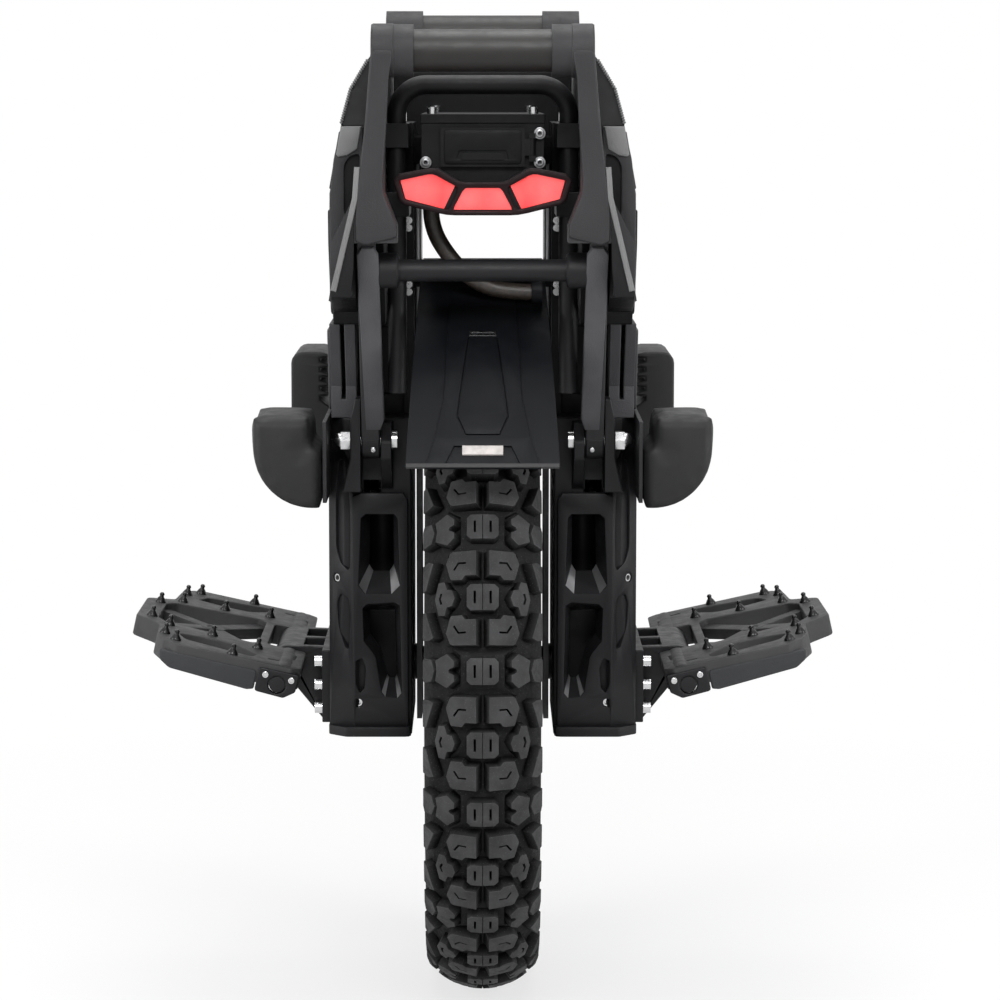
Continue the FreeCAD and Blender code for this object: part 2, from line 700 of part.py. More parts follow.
def axle_blocks():
    """Blocks that carry the axle ends and stand under the shocks."""
    body = box((BLOCK_IN, BLOCK_OUT), (-BLOCK_HALF, BLOCK_HALF), (AXLE_Z - BLOCK_DROP, AXLE_Z + BLOCK_RISE))
    boss = rod_x(BLOCK_BOSS, (SLIDER_OUT, BLOCK_IN), 0, AXLE_Z)
    hole = rod_x(AXLE_RADIUS + SEAT_FIT, (SLIDER_OUT, BLOCK_OUT), 0, AXLE_Z)
    return both_sides(joined([body, boss]).cut(hole))


def axle_nuts():
    """Hexagon nuts outside the axle blocks."""
    nut = hexagon_x(NUT_ACROSS, (BLOCK_OUT, BLOCK_OUT + NUT_THICK), 0, AXLE_Z)
    hole = rod_x(AXLE_RADIUS + SEAT_FIT, (BLOCK_OUT, BLOCK_OUT + NUT_THICK), 0, AXLE_Z)
    return both_sides(nut.cut(hole))


def shock_bodies():
    """Shock bodies on the axle blocks, with a flared foot and a bore for the rod."""
    place = FreeCAD.Vector(SHOCK_X, 0, SHOCK_FOOT_Z)
    foot = Part.makeCone(BLOCK_THICK / 2, SHOCK_RADIUS, SHOCK_FOOT_HEIGHT, place)
    body = rod_z(SHOCK_RADIUS, (SHOCK_FOOT_Z, SHOCK_TOP_Z), SHOCK_X, 0)
    bore_foot = SHOCK_TOP_Z - SHOCK_BORE_DEPTH
    bore = rod_z(SHOCK_ROD_RADIUS + RUNNING_FIT, (bore_foot, SHOCK_TOP_Z), SHOCK_X, 0)
    return both_sides(joined([foot, body]).cut(bore))


def shock_rods():
    """Rods that hang from the leg roofs into the shock bodies."""
    rod = rod_z(SHOCK_ROD_RADIUS, (SHOCK_TOP_Z - SHOCK_ROD_HOLD, LEG_TOP - LEG_ROOF), SHOCK_X, 0)
    return both_sides(rod)


def leg_outline(wall, floor, roof):
    """Side outline of a leg, drawn in by a wall, a floor and a roof."""
    foot = LEG_HALF_FOOT - wall
    top = LEG_HALF_TOP - wall
    waist = LEG_BOTTOM + LEG_WAIST
    return [(-foot, LEG_BOTTOM + floor), (foot, LEG_BOTTOM + floor), (top, waist), (top, LEG_TOP - roof),
            (-top, LEG_TOP - roof), (-top, waist)]


def leg_plan():
    """Plan of a leg with its outer corners bevelled."""
    bevel = LEG_HALF_TOP - LEG_BEVEL_Y
    edge = LEG_OUT - LEG_BEVEL_X
    return [(LEG_IN, -LEG_HALF_TOP), (edge, -LEG_HALF_TOP), (LEG_OUT, -bevel), (LEG_OUT, bevel),
            (edge, LEG_HALF_TOP), (LEG_IN, LEG_HALF_TOP)]


def leg_windows():
    """Windows through the front and rear walls, and the opening below the clevis."""
    outside = CAVITY_IN + WINDOW_WIDTH
    low = LEG_BOTTOM + UPPER_WINDOW_FOOT
    high = low + UPPER_WINDOW_HEIGHT
    upper = [(CAVITY_IN, low), (outside - WINDOW_CUT, low), (outside, low + WINDOW_CUT),
             (outside - WINDOW_CUT / 2, high), (CAVITY_IN, high)]
    low = LEG_BOTTOM + LOWER_WINDOW_FOOT
    high = low + LOWER_WINDOW_HEIGHT
    bend = low + LOWER_WINDOW_BEND
    step = outside - LOWER_WINDOW_STEP
    lower = [(CAVITY_IN, low), (step, low), (step + WINDOW_CUT, bend),
             (outside - WINDOW_CUT, bend + WINDOW_CUT), (outside, high), (CAVITY_IN, high)]
    through = (-LEG_HALF_TOP, LEG_HALF_TOP)
    foot = LEG_TOP - CLEVIS_WINDOW_DROP
    small = box((STAY_IN, STAY_OUT), (-LEG_HALF_TOP, 0), (foot, foot + CLEVIS_WINDOW_HEIGHT))
    return [prism_xz(upper, through), prism_xz(lower, through), small]


def axle_slot():
    """Upright slot in a leg's inner wall, as long as the suspension travel."""
    radius = BLOCK_BOSS + SLOT_GAP
    wall = (LEG_IN, CAVITY_IN)
    low_end = rod_x(radius, wall, 0, AXLE_Z)
    high_end = rod_x(radius, wall, 0, AXLE_Z + TRAVEL)
    middle = box(wall, (-radius, radius), (AXLE_Z, AXLE_Z + TRAVEL))
    return joined([low_end, high_end, middle])


def clevis():
    """Inner cheek and outer fin behind the leg, bored for the stay's pivot bolt."""
    behind = (PIVOT_Y - BARREL_RADIUS, -LEG_HALF_TOP)
    low = PIVOT_Z - CLEVIS_DROP
    cheek = prism_yz([(-LEG_HALF_TOP, low), (-LEG_HALF_TOP, PIVOT_Z + BARREL_RADIUS),
                      (PIVOT_Y, PIVOT_Z + BARREL_RADIUS), (PIVOT_Y - BARREL_RADIUS, PIVOT_Z),
                      (PIVOT_Y - BARREL_RADIUS, PIVOT_Z - BARREL_RADIUS)],
                     (CLEVIS_IN, CLEVIS_IN + CLEVIS_THICK))
    top = LEG_TOP + FIN_RISE
    fin = prism_xz([(FIN_IN, low), (FIN_IN, top), (FIN_IN + CLEVIS_THICK / 2, top),
                    (FIN_OUT, PIVOT_Z + BARREL_RADIUS), (FIN_OUT, PIVOT_Z - BARREL_RADIUS),
                    (LEG_OUT - LEG_BEVEL_X, low)], behind)
    hole = rod_x(PIVOT_RADIUS + SEAT_FIT, (CLEVIS_IN, FIN_OUT), PIVOT_Y, PIVOT_Z)
    return [cheek.cut(hole), fin.cut(hole)]


def hanger_bolt_places():
    """Places of the hanger bolts on the outer face of a leg."""
    places = []
    for row in range(HANGER_BOLT_ROWS):
        height = HANGER_FOOT_Z + HANGER_BOLT_EDGE + row * HANGER_BOLT_PITCH
        places.append((-HANGER_BOLT_Y, height))
        places.append((HANGER_BOLT_Y, height))
    return places


def hanger_bolt_holes():
    """Clearance holes through the hanger plate and the leg's outer wall."""
    radius = SCREW_SHANK_RADIUS + SEAT_FIT
    return [rod_x(radius, (CAVITY_OUT, HANGER_OUT), y, z) for y, z in hanger_bolt_places()]


def accessory_holes():
    """Two tapped holes in a leg's outer wall for an accessory."""
    height = AXLE_Z + ACCESSORY_HOLE_RISE
    half = ACCESSORY_HOLE_SPACING / 2
    return [rod_x(ACCESSORY_HOLE_RADIUS, (CAVITY_OUT, LEG_OUT), y, height) for y in (-half, half)]


def leg():
    """Hollow right leg with windows, an axle slot and a clevis for the stay."""
    outside = prism_yz(leg_outline(0, 0, 0), (LEG_IN, LEG_OUT))
    outside = outside.common(prism_xy(leg_plan(), (LEG_BOTTOM, LEG_TOP)))
    hollow = prism_yz(leg_outline(LEG_WALL, LEG_FLOOR, LEG_ROOF), (CAVITY_IN, CAVITY_OUT))
    walls = joined([outside.cut(hollow)] + clevis())
    return walls.cut(leg_windows() + [axle_slot()] + hanger_bolt_holes() + accessory_holes())


def side_frames():
    """Twin plates on the leg tops that carry the side shells."""
    straight = LEG_TOP + SIDE_FRAME_STRAIGHT
    flare = SIDE_FRAME_HALF + SIDE_FRAME_FLARE
    outline = [(-SIDE_FRAME_HALF, LEG_TOP), (SIDE_FRAME_HALF, LEG_TOP), (SIDE_FRAME_HALF, straight),
               (flare, SHELL_BOTTOM), (-flare, SHELL_BOTTOM), (-SIDE_FRAME_HALF, straight)]
    inner_out = SIDE_FRAME_OUT - SIDE_PLATE - SIDE_PLATE_GAP
    whole = prism_yz(outline, (inner_out - SIDE_PLATE, SIDE_FRAME_OUT))
    groove_foot = LEG_TOP + SIDE_FRAME_WEB
    groove = box((inner_out, inner_out + SIDE_PLATE_GAP), (-flare, flare), (groove_foot, SHELL_BOTTOM))
    return both_sides(whole.cut(groove))


def guide_columns():
    """Upright columns on the leg tops, grooved for the slider ribs."""
    column = box((COLUMN_IN, COLUMN_OUT), (-COLUMN_HALF, COLUMN_HALF), (LEG_TOP, COLUMN_TOP))
    groove_half = RIB_HALF + SLIDE_FIT
    groove_out = SLIDER_OUT + RIB_DEPTH + SLIDE_FIT
    groove = box((COLUMN_IN, groove_out), (-groove_half, groove_half), (LEG_TOP, COLUMN_TOP))
    return both_sides(column.cut(groove))


def rear_stays():
    """Slanting arms from the leg clevises up to the rear pillars."""
    half = STAY_DEPTH / 2
    arm = prism_yz([(STAY_TOP_Y - half, PILLAR_FOOT_Z), (STAY_TOP_Y + half, PILLAR_FOOT_Z),
                    (PIVOT_Y + BARREL_RADIUS, PIVOT_Z), (PIVOT_Y - BARREL_RADIUS, PIVOT_Z)],
                   (STAY_IN, STAY_OUT))
    barrel = rod_x(BARREL_RADIUS, (STAY_IN, STAY_OUT), PIVOT_Y, PIVOT_Z)
    hole = rod_x(PIVOT_RADIUS + SEAT_FIT, (STAY_IN, STAY_OUT), PIVOT_Y, PIVOT_Z)
    return both_sides(joined([arm, barrel]).cut(hole))


def cross_tube():
    """Tube between the stays, with a collar at each end."""
    share = CROSS_TUBE_DROP / (PILLAR_FOOT_Z - PIVOT_Z)
    y = STAY_TOP_Y + share * (PIVOT_Y - STAY_TOP_Y)
    z = PILLAR_FOOT_Z - CROSS_TUBE_DROP
    tube = rod_x(CROSS_TUBE_RADIUS, (-STAY_IN, STAY_IN), y, z)
    collar = rod_x(CROSS_COLLAR_RADIUS, (STAY_IN - CROSS_COLLAR_LENGTH, STAY_IN), y, z)
    return joined([tube] + both_sides(collar))


def stay_bolts():
    """Pivot bolts of the stays and the cap nuts on their outer ends."""
    shank = rod_x(PIVOT_RADIUS, (CLEVIS_IN, FIN_OUT + CAP_NUT_HOLD), PIVOT_Y, PIVOT_Z)
    head = rod_x(PIVOT_HEAD_RADIUS, (CLEVIS_IN - PIVOT_HEAD_HEIGHT, CLEVIS_IN), PIVOT_Y, PIVOT_Z)
    dome_radius = CAP_NUT_ACROSS / 2 - CAP_NUT_STEP
    dome_place = FreeCAD.Vector(FIN_OUT + CAP_NUT_LENGTH - dome_radius, PIVOT_Y, PIVOT_Z)
    flats = hexagon_x(CAP_NUT_ACROSS, (FIN_OUT, dome_place.x), PIVOT_Y, PIVOT_Z)
    dome = Part.makeSphere(dome_radius, dome_place, AXIS_X, 0, 90, 360)
    bore = rod_x(PIVOT_RADIUS + SEAT_FIT, (FIN_OUT, FIN_OUT + CAP_NUT_HOLD + SEAT_FIT), PIVOT_Y, PIVOT_Z)
    nut = joined([flats, dome]).cut(bore)
    return both_sides(joined([shank, head])) + both_sides(nut)


def pillar_outline(bar_z):
    """Outline of a right pillar seen from behind, below its bar's boss."""
    neck = SHELL_SEAM - PILLAR_NECK_DROP
    knee = PILLAR_FOOT_Z + PILLAR_KNEE_RISE
    toe = PILLAR_FOOT_Z + PILLAR_TOE_RISE
    flare_in = PILLAR_FLARE_OUT - PILLAR_FLARE_WIDTH
    return [(PILLAR_TOP_IN, bar_z), (PILLAR_TOP_OUT, bar_z), (PILLAR_NECK_OUT, neck), (PILLAR_KNEE_OUT, knee),
            (PILLAR_FLARE_OUT, PILLAR_FOOT_Z), (PILLAR_FLARE_OUT, PILLAR_FOOT_Z - PILLAR_FLARE_DROP),
            (flare_in, PILLAR_FOOT_Z - PILLAR_FLARE_DROP), (flare_in, PILLAR_FOOT_Z),
            (PILLAR_TOE_IN, PILLAR_FOOT_Z), (PILLAR_TOE_IN, toe), (PILLAR_NECK_IN, knee),
            (PILLAR_NECK_IN, neck)]


def pillar(bar_z):
    """Right rear pillar: a plate behind the shell with a boss that takes the bar's spigot."""
    plate = prism_xz(pillar_outline(bar_z), (-SHELL_HALF_TOP - PILLAR_DEPTH, -SHELL_HALF_TOP))
    boss = rod_x(BOSS_RADIUS, (BAR_HALF, PILLAR_TOP_OUT), -BAR_Y, bar_z)
    bore = rod_x(SPIGOT_RADIUS + SEAT_FIT, (BAR_HALF, BAR_HALF + SPIGOT_LENGTH + SEAT_FIT), -BAR_Y, bar_z)
    return joined([plate, boss]).cut(bore)


def handle_bar(bar_z):
    """Rear handle bar with a spigot at each end."""
    grip = rod_x(BAR_RADIUS, (-BAR_HALF, BAR_HALF), -BAR_Y, bar_z)
    end = BAR_HALF + SPIGOT_LENGTH
    spigots = rod_x(SPIGOT_RADIUS, (-end, end), -BAR_Y, bar_z)
    return joined([grip, spigots])


def shell_form(wall):
    """Form of a right side shell, drawn in by a wall on all faces but the top."""
    low = SHELL_BOTTOM + wall
    rear_view = [(SHELL_IN + wall, low), (SHELL_OUT - wall, low),
                 (SHELL_OUT - wall, SHELL_BOTTOM + SHELL_SHOULDER),
                 (SHELL_TOP_OUT - wall, SHELL_SEAM), (SHELL_IN + wall, SHELL_SEAM)]
    foot = SHELL_HALF_FOOT - wall
    top = SHELL_HALF_TOP - wall
    slant = SHELL_BOTTOM + SHELL_SLANT_HEIGHT
    side_view = [(-foot, low), (foot, low), (top, slant), (top, SHELL_SEAM), (-top, SHELL_SEAM),
                 (-top, slant)]
    return prism_xz(rear_view, (-top, top)).common(prism_yz(side_view, (SHELL_IN, SHELL_OUT)))


def side_shell():
    """Right battery case, open at its top."""
    return shell_form(0).cut(shell_form(SHELL_WALL))


def upper_form(wall):
    """Form of a right upper shell, drawn in by a wall on all faces but the bottom."""
    half = SHELL_HALF_TOP - wall
    inside = FreeCAD.Vector(SHELL_IN + wall, -half, SHELL_SEAM)
    outside = FreeCAD.Vector(SHELL_TOP_OUT - wall, -half, SHELL_SEAM)
    crown = FreeCAD.Vector(UPPER_CROWN_OUT - wall, -half, SHELL_SEAM + UPPER_CROWN_HEIGHT - wall / 2)
    top = FreeCAD.Vector(UPPER_TOP_OUT - wall, -half, UPPER_TOP - wall)
    back = FreeCAD.Vector(SHELL_IN + wall, -half, UPPER_TOP - wall)
    edges = [line_edge(inside, outside), arc_edge(outside, crown, top), line_edge(top, back),
             line_edge(back, inside)]
    whole = Part.Face(Part.Wire(edges)).extrude(AXIS_Y * (2 * half))
    slope = half - UPPER_END_SLOPE
    side_view = [(-half, SHELL_SEAM), (half, SHELL_SEAM), (slope, UPPER_TOP), (-slope, UPPER_TOP)]
    return whole.common(prism_yz(side_view, (SHELL_IN, SHELL_OUT)))


def upper_shells():
    """Rounded covers on top of the side shells."""
    return both_sides(upper_form(0).cut(upper_form(SHELL_WALL)))


def batteries():
    """A battery pack on the floor of each side shell."""
    inset = SHELL_WALL + BATTERY_GAP
    half = SHELL_HALF_FOOT - SHELL_WALL - inset
    floor = SHELL_BOTTOM + SHELL_WALL
    top = SHELL_BOTTOM + SHELL_SHOULDER - inset
    pack = box((SHELL_IN + inset, SHELL_OUT - inset), (-half, half), (floor, top))
    return both_sides(pack)


def light_points(outline):
    """Points of a light outline on the right, above the box's bottom."""
    return [(x, BOX_BOTTOM + rise) for x, rise in outline]


def with_mirror(points):
    """A right-hand outline completed by its left-hand half."""
    return points + [(-x, z) for x, z in reversed(points)]


def tail_light_lenses():
    """Centre lens and two side lenses, flush with the back of the housing."""
    span = (LIGHT_REAR, LIGHT_REAR + LENS_DEPTH)
    side = prism_xz(light_points(SIDE_LENS_OUTLINE), span)
    centre = prism_xz(with_mirror(light_points(CENTRE_LENS_OUTLINE)), span)
    return both_sides(side) + [centre]


def tail_light_housing():
    """Angular housing on the back of the controller box."""
    body = prism_xz(with_mirror(light_points(LIGHT_OUTLINE)), (LIGHT_REAR, BOX_REAR))
    return body.cut(tail_light_lenses())


def door_rise():
    """Lower and upper edges of the charge port door."""
    top = BOX_TOP - DOOR_TOP_GAP
    return top - DOOR_HEIGHT, top


def hinge_y():
    """Depth of the door's hinge pin behind the box."""
    return BOX_REAR - DOOR_THICK / 2


def door_knuckle_range():
    """Lower and upper ends of the door's hinge knuckle."""
    low, high = door_rise()
    middle = (low + high) / 2
    return middle - DOOR_KNUCKLE_HEIGHT / 2, middle + DOOR_KNUCKLE_HEIGHT / 2


def controller_box():
    """Open box for the controller, with ears on the columns, hinge lugs and board posts."""
    body = box((-BOX_HALF, BOX_HALF), (BOX_REAR, BOX_FRONT), (BOX_BOTTOM, BOX_TOP))
    half = BOX_HALF - BOX_WALL
    floor = BOX_BOTTOM + BOX_WALL
    hollow = box((-half, half), (BOX_REAR + BOX_WALL, BOX_FRONT - BOX_WALL), (floor, BOX_TOP))
    middle = (BOX_BOTTOM + BOX_TOP) / 2
    ear_z = (middle, middle + BOX_EAR_HEIGHT)
    ears = []
    for near, far in ((-BOX_EAR_FAR, -BOX_EAR_NEAR), (BOX_EAR_NEAR, BOX_EAR_FAR)):
        ears.extend(both_sides(box((BOX_HALF, COLUMN_IN), (near, far), ear_z)))
    low, high = door_knuckle_range()
    lug_x = (DOOR_HINGE_X - DOOR_KNUCKLE_RADIUS, DOOR_HINGE_X + DOOR_KNUCKLE_RADIUS)
    lug_y = (BOX_REAR - DOOR_THICK, BOX_REAR)
    upper_lug = box(lug_x, lug_y, (high + SLIDE_FIT, high + SLIDE_FIT + DOOR_LUG_HEIGHT))
    lower_lug = box(lug_x, lug_y, (low - SLIDE_FIT - DOOR_LUG_HEIGHT, low - SLIDE_FIT))
    pin_hole = rod_z(DOOR_PIN_RADIUS + RUNNING_FIT, (BOX_BOTTOM, BOX_TOP), DOOR_HINGE_X, hinge_y())
    posts = []
    for x in (-half + BOARD_STANDOFF, half - BOARD_STANDOFF):
        for y in (BOX_REAR + 2 * BOARD_STANDOFF, BOX_FRONT - 2 * BOARD_STANDOFF):
            posts.append(rod_z(BOARD_STANDOFF / 2, (floor, floor + BOARD_STANDOFF), x, y))
    shell = joined([body.cut(hollow)] + ears + posts)
    lugs = [upper_lug.cut(pin_hole), lower_lug.cut(pin_hole)]
    return joined([shell] + lugs).cut(dash_port())


def dash_port():
    """Wire passage between the controller box and the dash."""
    z_range = (BOX_BOTTOM + DASH_PORT_MARGIN, BOX_TOP - DASH_PORT_MARGIN)
    return box((-DASH_PORT_HALF, DASH_PORT_HALF), (BOX_FRONT - BOX_WALL, BOX_FRONT + DASH_WALL), z_range)


def controller_board():
    """Circuit board with two tall blocks, on the posts in the box."""
    half = BOX_HALF - BOX_WALL - BOARD_STANDOFF / 2
    low = BOX_BOTTOM + BOX_WALL + BOARD_STANDOFF
    high = low + BOARD_THICK
    board = box((-half, half), (BOX_REAR + BOARD_STANDOFF, BOX_FRONT - BOARD_STANDOFF), (low, high))
    middle = (BOX_REAR + BOX_FRONT) / 2
    parts = [board]
    for y in (BOX_REAR + half, middle):
        parts.append(box((-half / 2, half / 2), (y, y + half), (high, high + BOARD_PART_HEIGHT)))
    return joined(parts)


def lid_screw_places():
    """Places of the lid screws."""
    places = []
    for x in (-LID_POST_X, LID_POST_X):
        for y in (BOX_REAR + 2 * LID_POST_RADIUS, BOX_FRONT - 2 * LID_POST_RADIUS):
            places.append((x, y))
    return places


def controller_lid():
    """Flat lid on the controller box."""
    half = BOX_HALF + LID_RIM
    lid = box((-half, half), (BOX_REAR - LID_RIM, BOX_FRONT), (BOX_TOP, LID_TOP))
    radius = LID_SCREW_SHANK + SEAT_FIT
    return lid.cut([rod_z(radius, (BOX_TOP, LID_TOP), x, y) for x, y in lid_screw_places()])


def charge_port_door():
    """Door over the charge port, with a finger lip and a hinge pin on its right."""
    low, high = door_rise()
    plate = box((-DOOR_HALF, DOOR_HALF), (BOX_REAR - DOOR_THICK, BOX_REAR - SLIDE_FIT), (low, high))
    knuckle_low, knuckle_high = door_knuckle_range()
    knuckle = rod_z(DOOR_KNUCKLE_RADIUS, (knuckle_low, knuckle_high), DOOR_HINGE_X, hinge_y())
    arm_y = (hinge_y() - DOOR_PIN_RADIUS, hinge_y() + DOOR_PIN_RADIUS)
    arm = box((DOOR_HALF, DOOR_HINGE_X), arm_y, (knuckle_low, knuckle_high))
    reach = SLIDE_FIT + DOOR_LUG_HEIGHT
    pin = rod_z(DOOR_PIN_RADIUS, (knuckle_low - reach, knuckle_high + reach), DOOR_HINGE_X, hinge_y())
    lip_y = (BOX_REAR - DOOR_THICK - DOOR_PIN_RADIUS, BOX_REAR - DOOR_THICK)
    lip = box((-DOOR_HALF / 2, DOOR_HALF / 2), lip_y, (low + DOOR_THICK, low + 2 * DOOR_THICK))
    return joined([plate, arm, knuckle, pin, lip])


def dash_outline(wall):
    """Side outline of the dash, drawn in by a wall."""
    rear = BOX_FRONT + wall
    front = DASH_FRONT - wall
    low = BOX_BOTTOM + wall
    high = DASH_TOP - wall
    return [(rear, low), (front, low), (front, BOX_BOTTOM + DASH_NOSE_HEIGHT),
            (DASH_FRONT - DASH_NOSE_RUN, high), (BOX_FRONT + DASH_TAIL_RUN, high),
            (rear, BOX_BOTTOM + DASH_TAIL_HEIGHT)]


def display_range():
    """Front-to-back range of the display on the dash."""
    middle = (BOX_FRONT + DASH_TAIL_RUN + DASH_FRONT - DASH_NOSE_RUN) / 2
    return middle - DISPLAY_LENGTH / 2, middle + DISPLAY_LENGTH / 2


def headlight_range():
    """Lower and upper edges of the headlight."""
    low = BOX_BOTTOM + HEADLIGHT_RISE
    return low, low + HEADLIGHT_HEIGHT


def headlight_lens():
    """Headlight lens in the front of the dash."""
    seat = DASH_FRONT - DISPLAY_THICK
    return box((-HEADLIGHT_HALF, HEADLIGHT_HALF), (seat, seat + HEADLIGHT_THICK), headlight_range())


def display_window():
    """Display window flush with the top of the dash."""
    return box((-DISPLAY_HALF, DISPLAY_HALF), display_range(), (DASH_TOP - DISPLAY_THICK, DASH_TOP))


def dash_housing():
    """Hollow dash in front of the controller box."""
    outside = prism_yz(dash_outline(0), (-DASH_HALF, DASH_HALF))
    inside_half = DASH_HALF - DASH_WALL
    inside = prism_yz(dash_outline(DASH_WALL), (-inside_half, inside_half))
    button_y = sum(display_range()) / 2
    hole = rod_z(BUTTON_RADIUS + SLIDE_FIT, (DASH_TOP - DASH_WALL, DASH_TOP), BUTTON_X, button_y)
    return outside.cut([inside, dash_port(), headlight_lens(), display_window(), hole])


def power_button():
    """Push button in the dash, held by a flange under the top wall."""
    button_y = sum(display_range()) / 2
    flange_top = DASH_TOP - DASH_WALL - SLIDE_FIT
    foot = flange_top - BUTTON_FLANGE
    flange = rod_z(BUTTON_RADIUS + BUTTON_FLANGE, (foot, flange_top), BUTTON_X, button_y)
    cap_top = DASH_TOP + BUTTON_TRAVEL + SLIDE_FIT
    cap = rod_z(BUTTON_RADIUS, (foot, cap_top), BUTTON_X, button_y)
    return joined([flange, cap])


def trolley_guides():
    """Bored guide blocks behind the columns, two on each side."""
    guides = []
    for top in (COLUMN_TOP, COLUMN_TOP - GUIDE_SPACING):
        z_range = (top - GUIDE_HEIGHT, top)
        y_range = (TROLLEY_Y - GUIDE_HALF, -COLUMN_HALF)
        block = box((TROLLEY_X - GUIDE_HALF, TROLLEY_X + GUIDE_HALF), y_range, z_range)
        bore = rod_z(TROLLEY_RADIUS + RUNNING_FIT, z_range, TROLLEY_X, TROLLEY_Y)
        guides.extend(both_sides(block.cut(bore)))
    return guides


def swept(edges, radius, start, direction):
    """A round section swept along joined edges."""
    section = Part.Wire(Part.makeCircle(radius, start, direction))
    return Part.Wire(edges).makePipeShell([section], True, False)


def trolley_handle():
    """U-shaped pull handle of round tube."""
    foot = TROLLEY_TOP_Z - TROLLEY_LEG
    bend_x = TROLLEY_X - TROLLEY_BEND
    bend_z = TROLLEY_TOP_Z - TROLLEY_BEND
    reach = TROLLEY_BEND * math.sqrt(0.5)
    points = [FreeCAD.Vector(TROLLEY_X, TROLLEY_Y, foot), FreeCAD.Vector(TROLLEY_X, TROLLEY_Y, bend_z),
              FreeCAD.Vector(bend_x + reach, TROLLEY_Y, bend_z + reach),
              FreeCAD.Vector(bend_x, TROLLEY_Y, TROLLEY_TOP_Z)]
    left = [FreeCAD.Vector(-point.x, point.y, point.z) for point in points]
    first = [line_edge(points[0], points[1]), arc_edge(*points[1:])]
    across = line_edge(points[-1], left[-1])
    last = [arc_edge(*reversed(left[1:])), line_edge(left[1], left[0])]
    return swept(first + [across] + last, TROLLEY_RADIUS, points[0], AXIS_Z)


def cable_route():
    """Points of the motor cable, from the box's bottom to the clip on the mudguard."""
    end_y = CABLE_POINTS[-1][1]
    clip_z = MUD_CENTRE_Z + math.sqrt(MUD_OUTER ** 2 - end_y ** 2) + CLIP_RISE
    drop = BOX_BOTTOM - clip_z
    return [FreeCAD.Vector(x, y, BOX_BOTTOM - share * drop) for x, y, share in CABLE_POINTS]


def cable_clip():
    """Ring on the mudguard that holds the cable's end, with its bore."""
    end = cable_route()[-1]
    span = (end.x - CLIP_LENGTH, end.x)
    ring = rod_x(CABLE_RADIUS + CLIP_WALL, span, end.y, end.z)
    bore = rod_x(CABLE_RADIUS + SEAT_FIT, span, end.y, end.z)
    return ring, bore


def mudguard():
    """Arched mudguard with wings on the columns and a clip for the motor cable."""
    lip_z = MUD_CENTRE_Z + MUD_OUTER * math.sin(math.radians(MUD_LIP_ANGLE))
    top_z = MUD_CENTRE_Z + MUD_OUTER
    wide = (-MUD_HALF_LIP, MUD_HALF_LIP)
    arch = rod_x(MUD_OUTER, wide, 0, MUD_CENTRE_Z).cut(rod_x(MUD_INNER, wide, 0, MUD_CENTRE_Z))
    view = with_mirror([(MUD_HALF_LIP, lip_z), (MUD_HALF_TOP, top_z)])
    arch = arch.common(prism_xz(view, (-MUD_OUTER, MUD_OUTER)))
    wing_top = MUD_CENTRE_Z + math.sqrt(MUD_INNER ** 2 - BOX_EAR_NEAR ** 2)
    wing_x = (MUD_HALF_TOP - MUD_WING_ROOT, COLUMN_IN)
    wing = box(wing_x, (BOX_EAR_NEAR, BOX_EAR_FAR), (wing_top - MUD_WING_DEPTH, wing_top))
    wings = both_sides(wing) + both_sides(flipped(wing))
    ring, bore = cable_clip()
    return joined([arch, ring] + wings).cut(bore)


def mudguard_reflector():
    """Flat reflector above the mudguard's rear lip."""
    low = MUD_CENTRE_Z + MUD_OUTER
    half = REFLECTOR_HEIGHT / 2
    plate = box((-REFLECTOR_HALF, REFLECTOR_HALF), (-half, half), (low, low + REFLECTOR_THICK))
    plate.rotate(FreeCAD.Vector(0, 0, MUD_CENTRE_Z), AXIS_X, 90 - REFLECTOR_ANGLE)
    return plate


def rounded_route(points, share):
    """Straight runs joined by tangent arcs, each as large as its shorter run allows."""
    edges = []
    start = points[0]
    for before, corner, after in zip(points, points[1:], points[2:]):
        back = before - corner
        ahead = after - corner
        setback = share * min(back.Length, ahead.Length)
        turn = math.pi - back.getAngle(ahead)
        radius = setback / math.tan(turn / 2)
        back.normalize()
        ahead.normalize()
        first = corner + back * setback
        last = corner + ahead * setback
        inward = back + ahead
        inward.normalize()
        depth = math.hypot(setback, radius) - radius
        edges.append(line_edge(start, first))
        edges.append(arc_edge(first, corner + inward * depth, last))
        start = last
        print("cable bend radius", round(radius, 1))
    edges.append(line_edge(start, points[-1]))
    return edges


def motor_cable():
    """Cable held between the controller box and the mudguard clip."""
    points = cable_route()
    edges = rounded_route(points, CABLE_BEND_SHARE)
    cable = swept(edges, CABLE_RADIUS, points[0], points[1] - points[0])
    length = sum(edge.Length for edge in edges)
    section = math.pi * CABLE_RADIUS ** 2
    print("cable volume over section times length", round(cable.Volume / (section * length), 4))
    return cable


def pad_section(y, draw):
    """Section of a calf pad, drawn in on its free sides, with a big round at the lower outer corner."""
    out = PAD_IN + PAD_THICK
    low = PAD_FOOT_Z + draw
    high = PAD_FOOT_Z + PAD_HEIGHT - draw
    round_x = out - PAD_ROUND
    round_z = PAD_FOOT_Z + PAD_ROUND
    bow = (PAD_ROUND - draw) * math.sqrt(0.5)
    inner_low = FreeCAD.Vector(PAD_IN, y, low)
    round_low = FreeCAD.Vector(round_x, y, low)
    round_mid = FreeCAD.Vector(round_x + bow, y, round_z - bow)
    round_high = FreeCAD.Vector(out - draw, y, round_z)
    outer_high = FreeCAD.Vector(out - draw, y, high)
    inner_high = FreeCAD.Vector(PAD_IN, y, high)
    return Part.Wire([line_edge(inner_low, round_low), arc_edge(round_low, round_mid, round_high),
                      line_edge(round_high, outer_high), line_edge(outer_high, inner_high),
                      line_edge(inner_high, inner_low)])


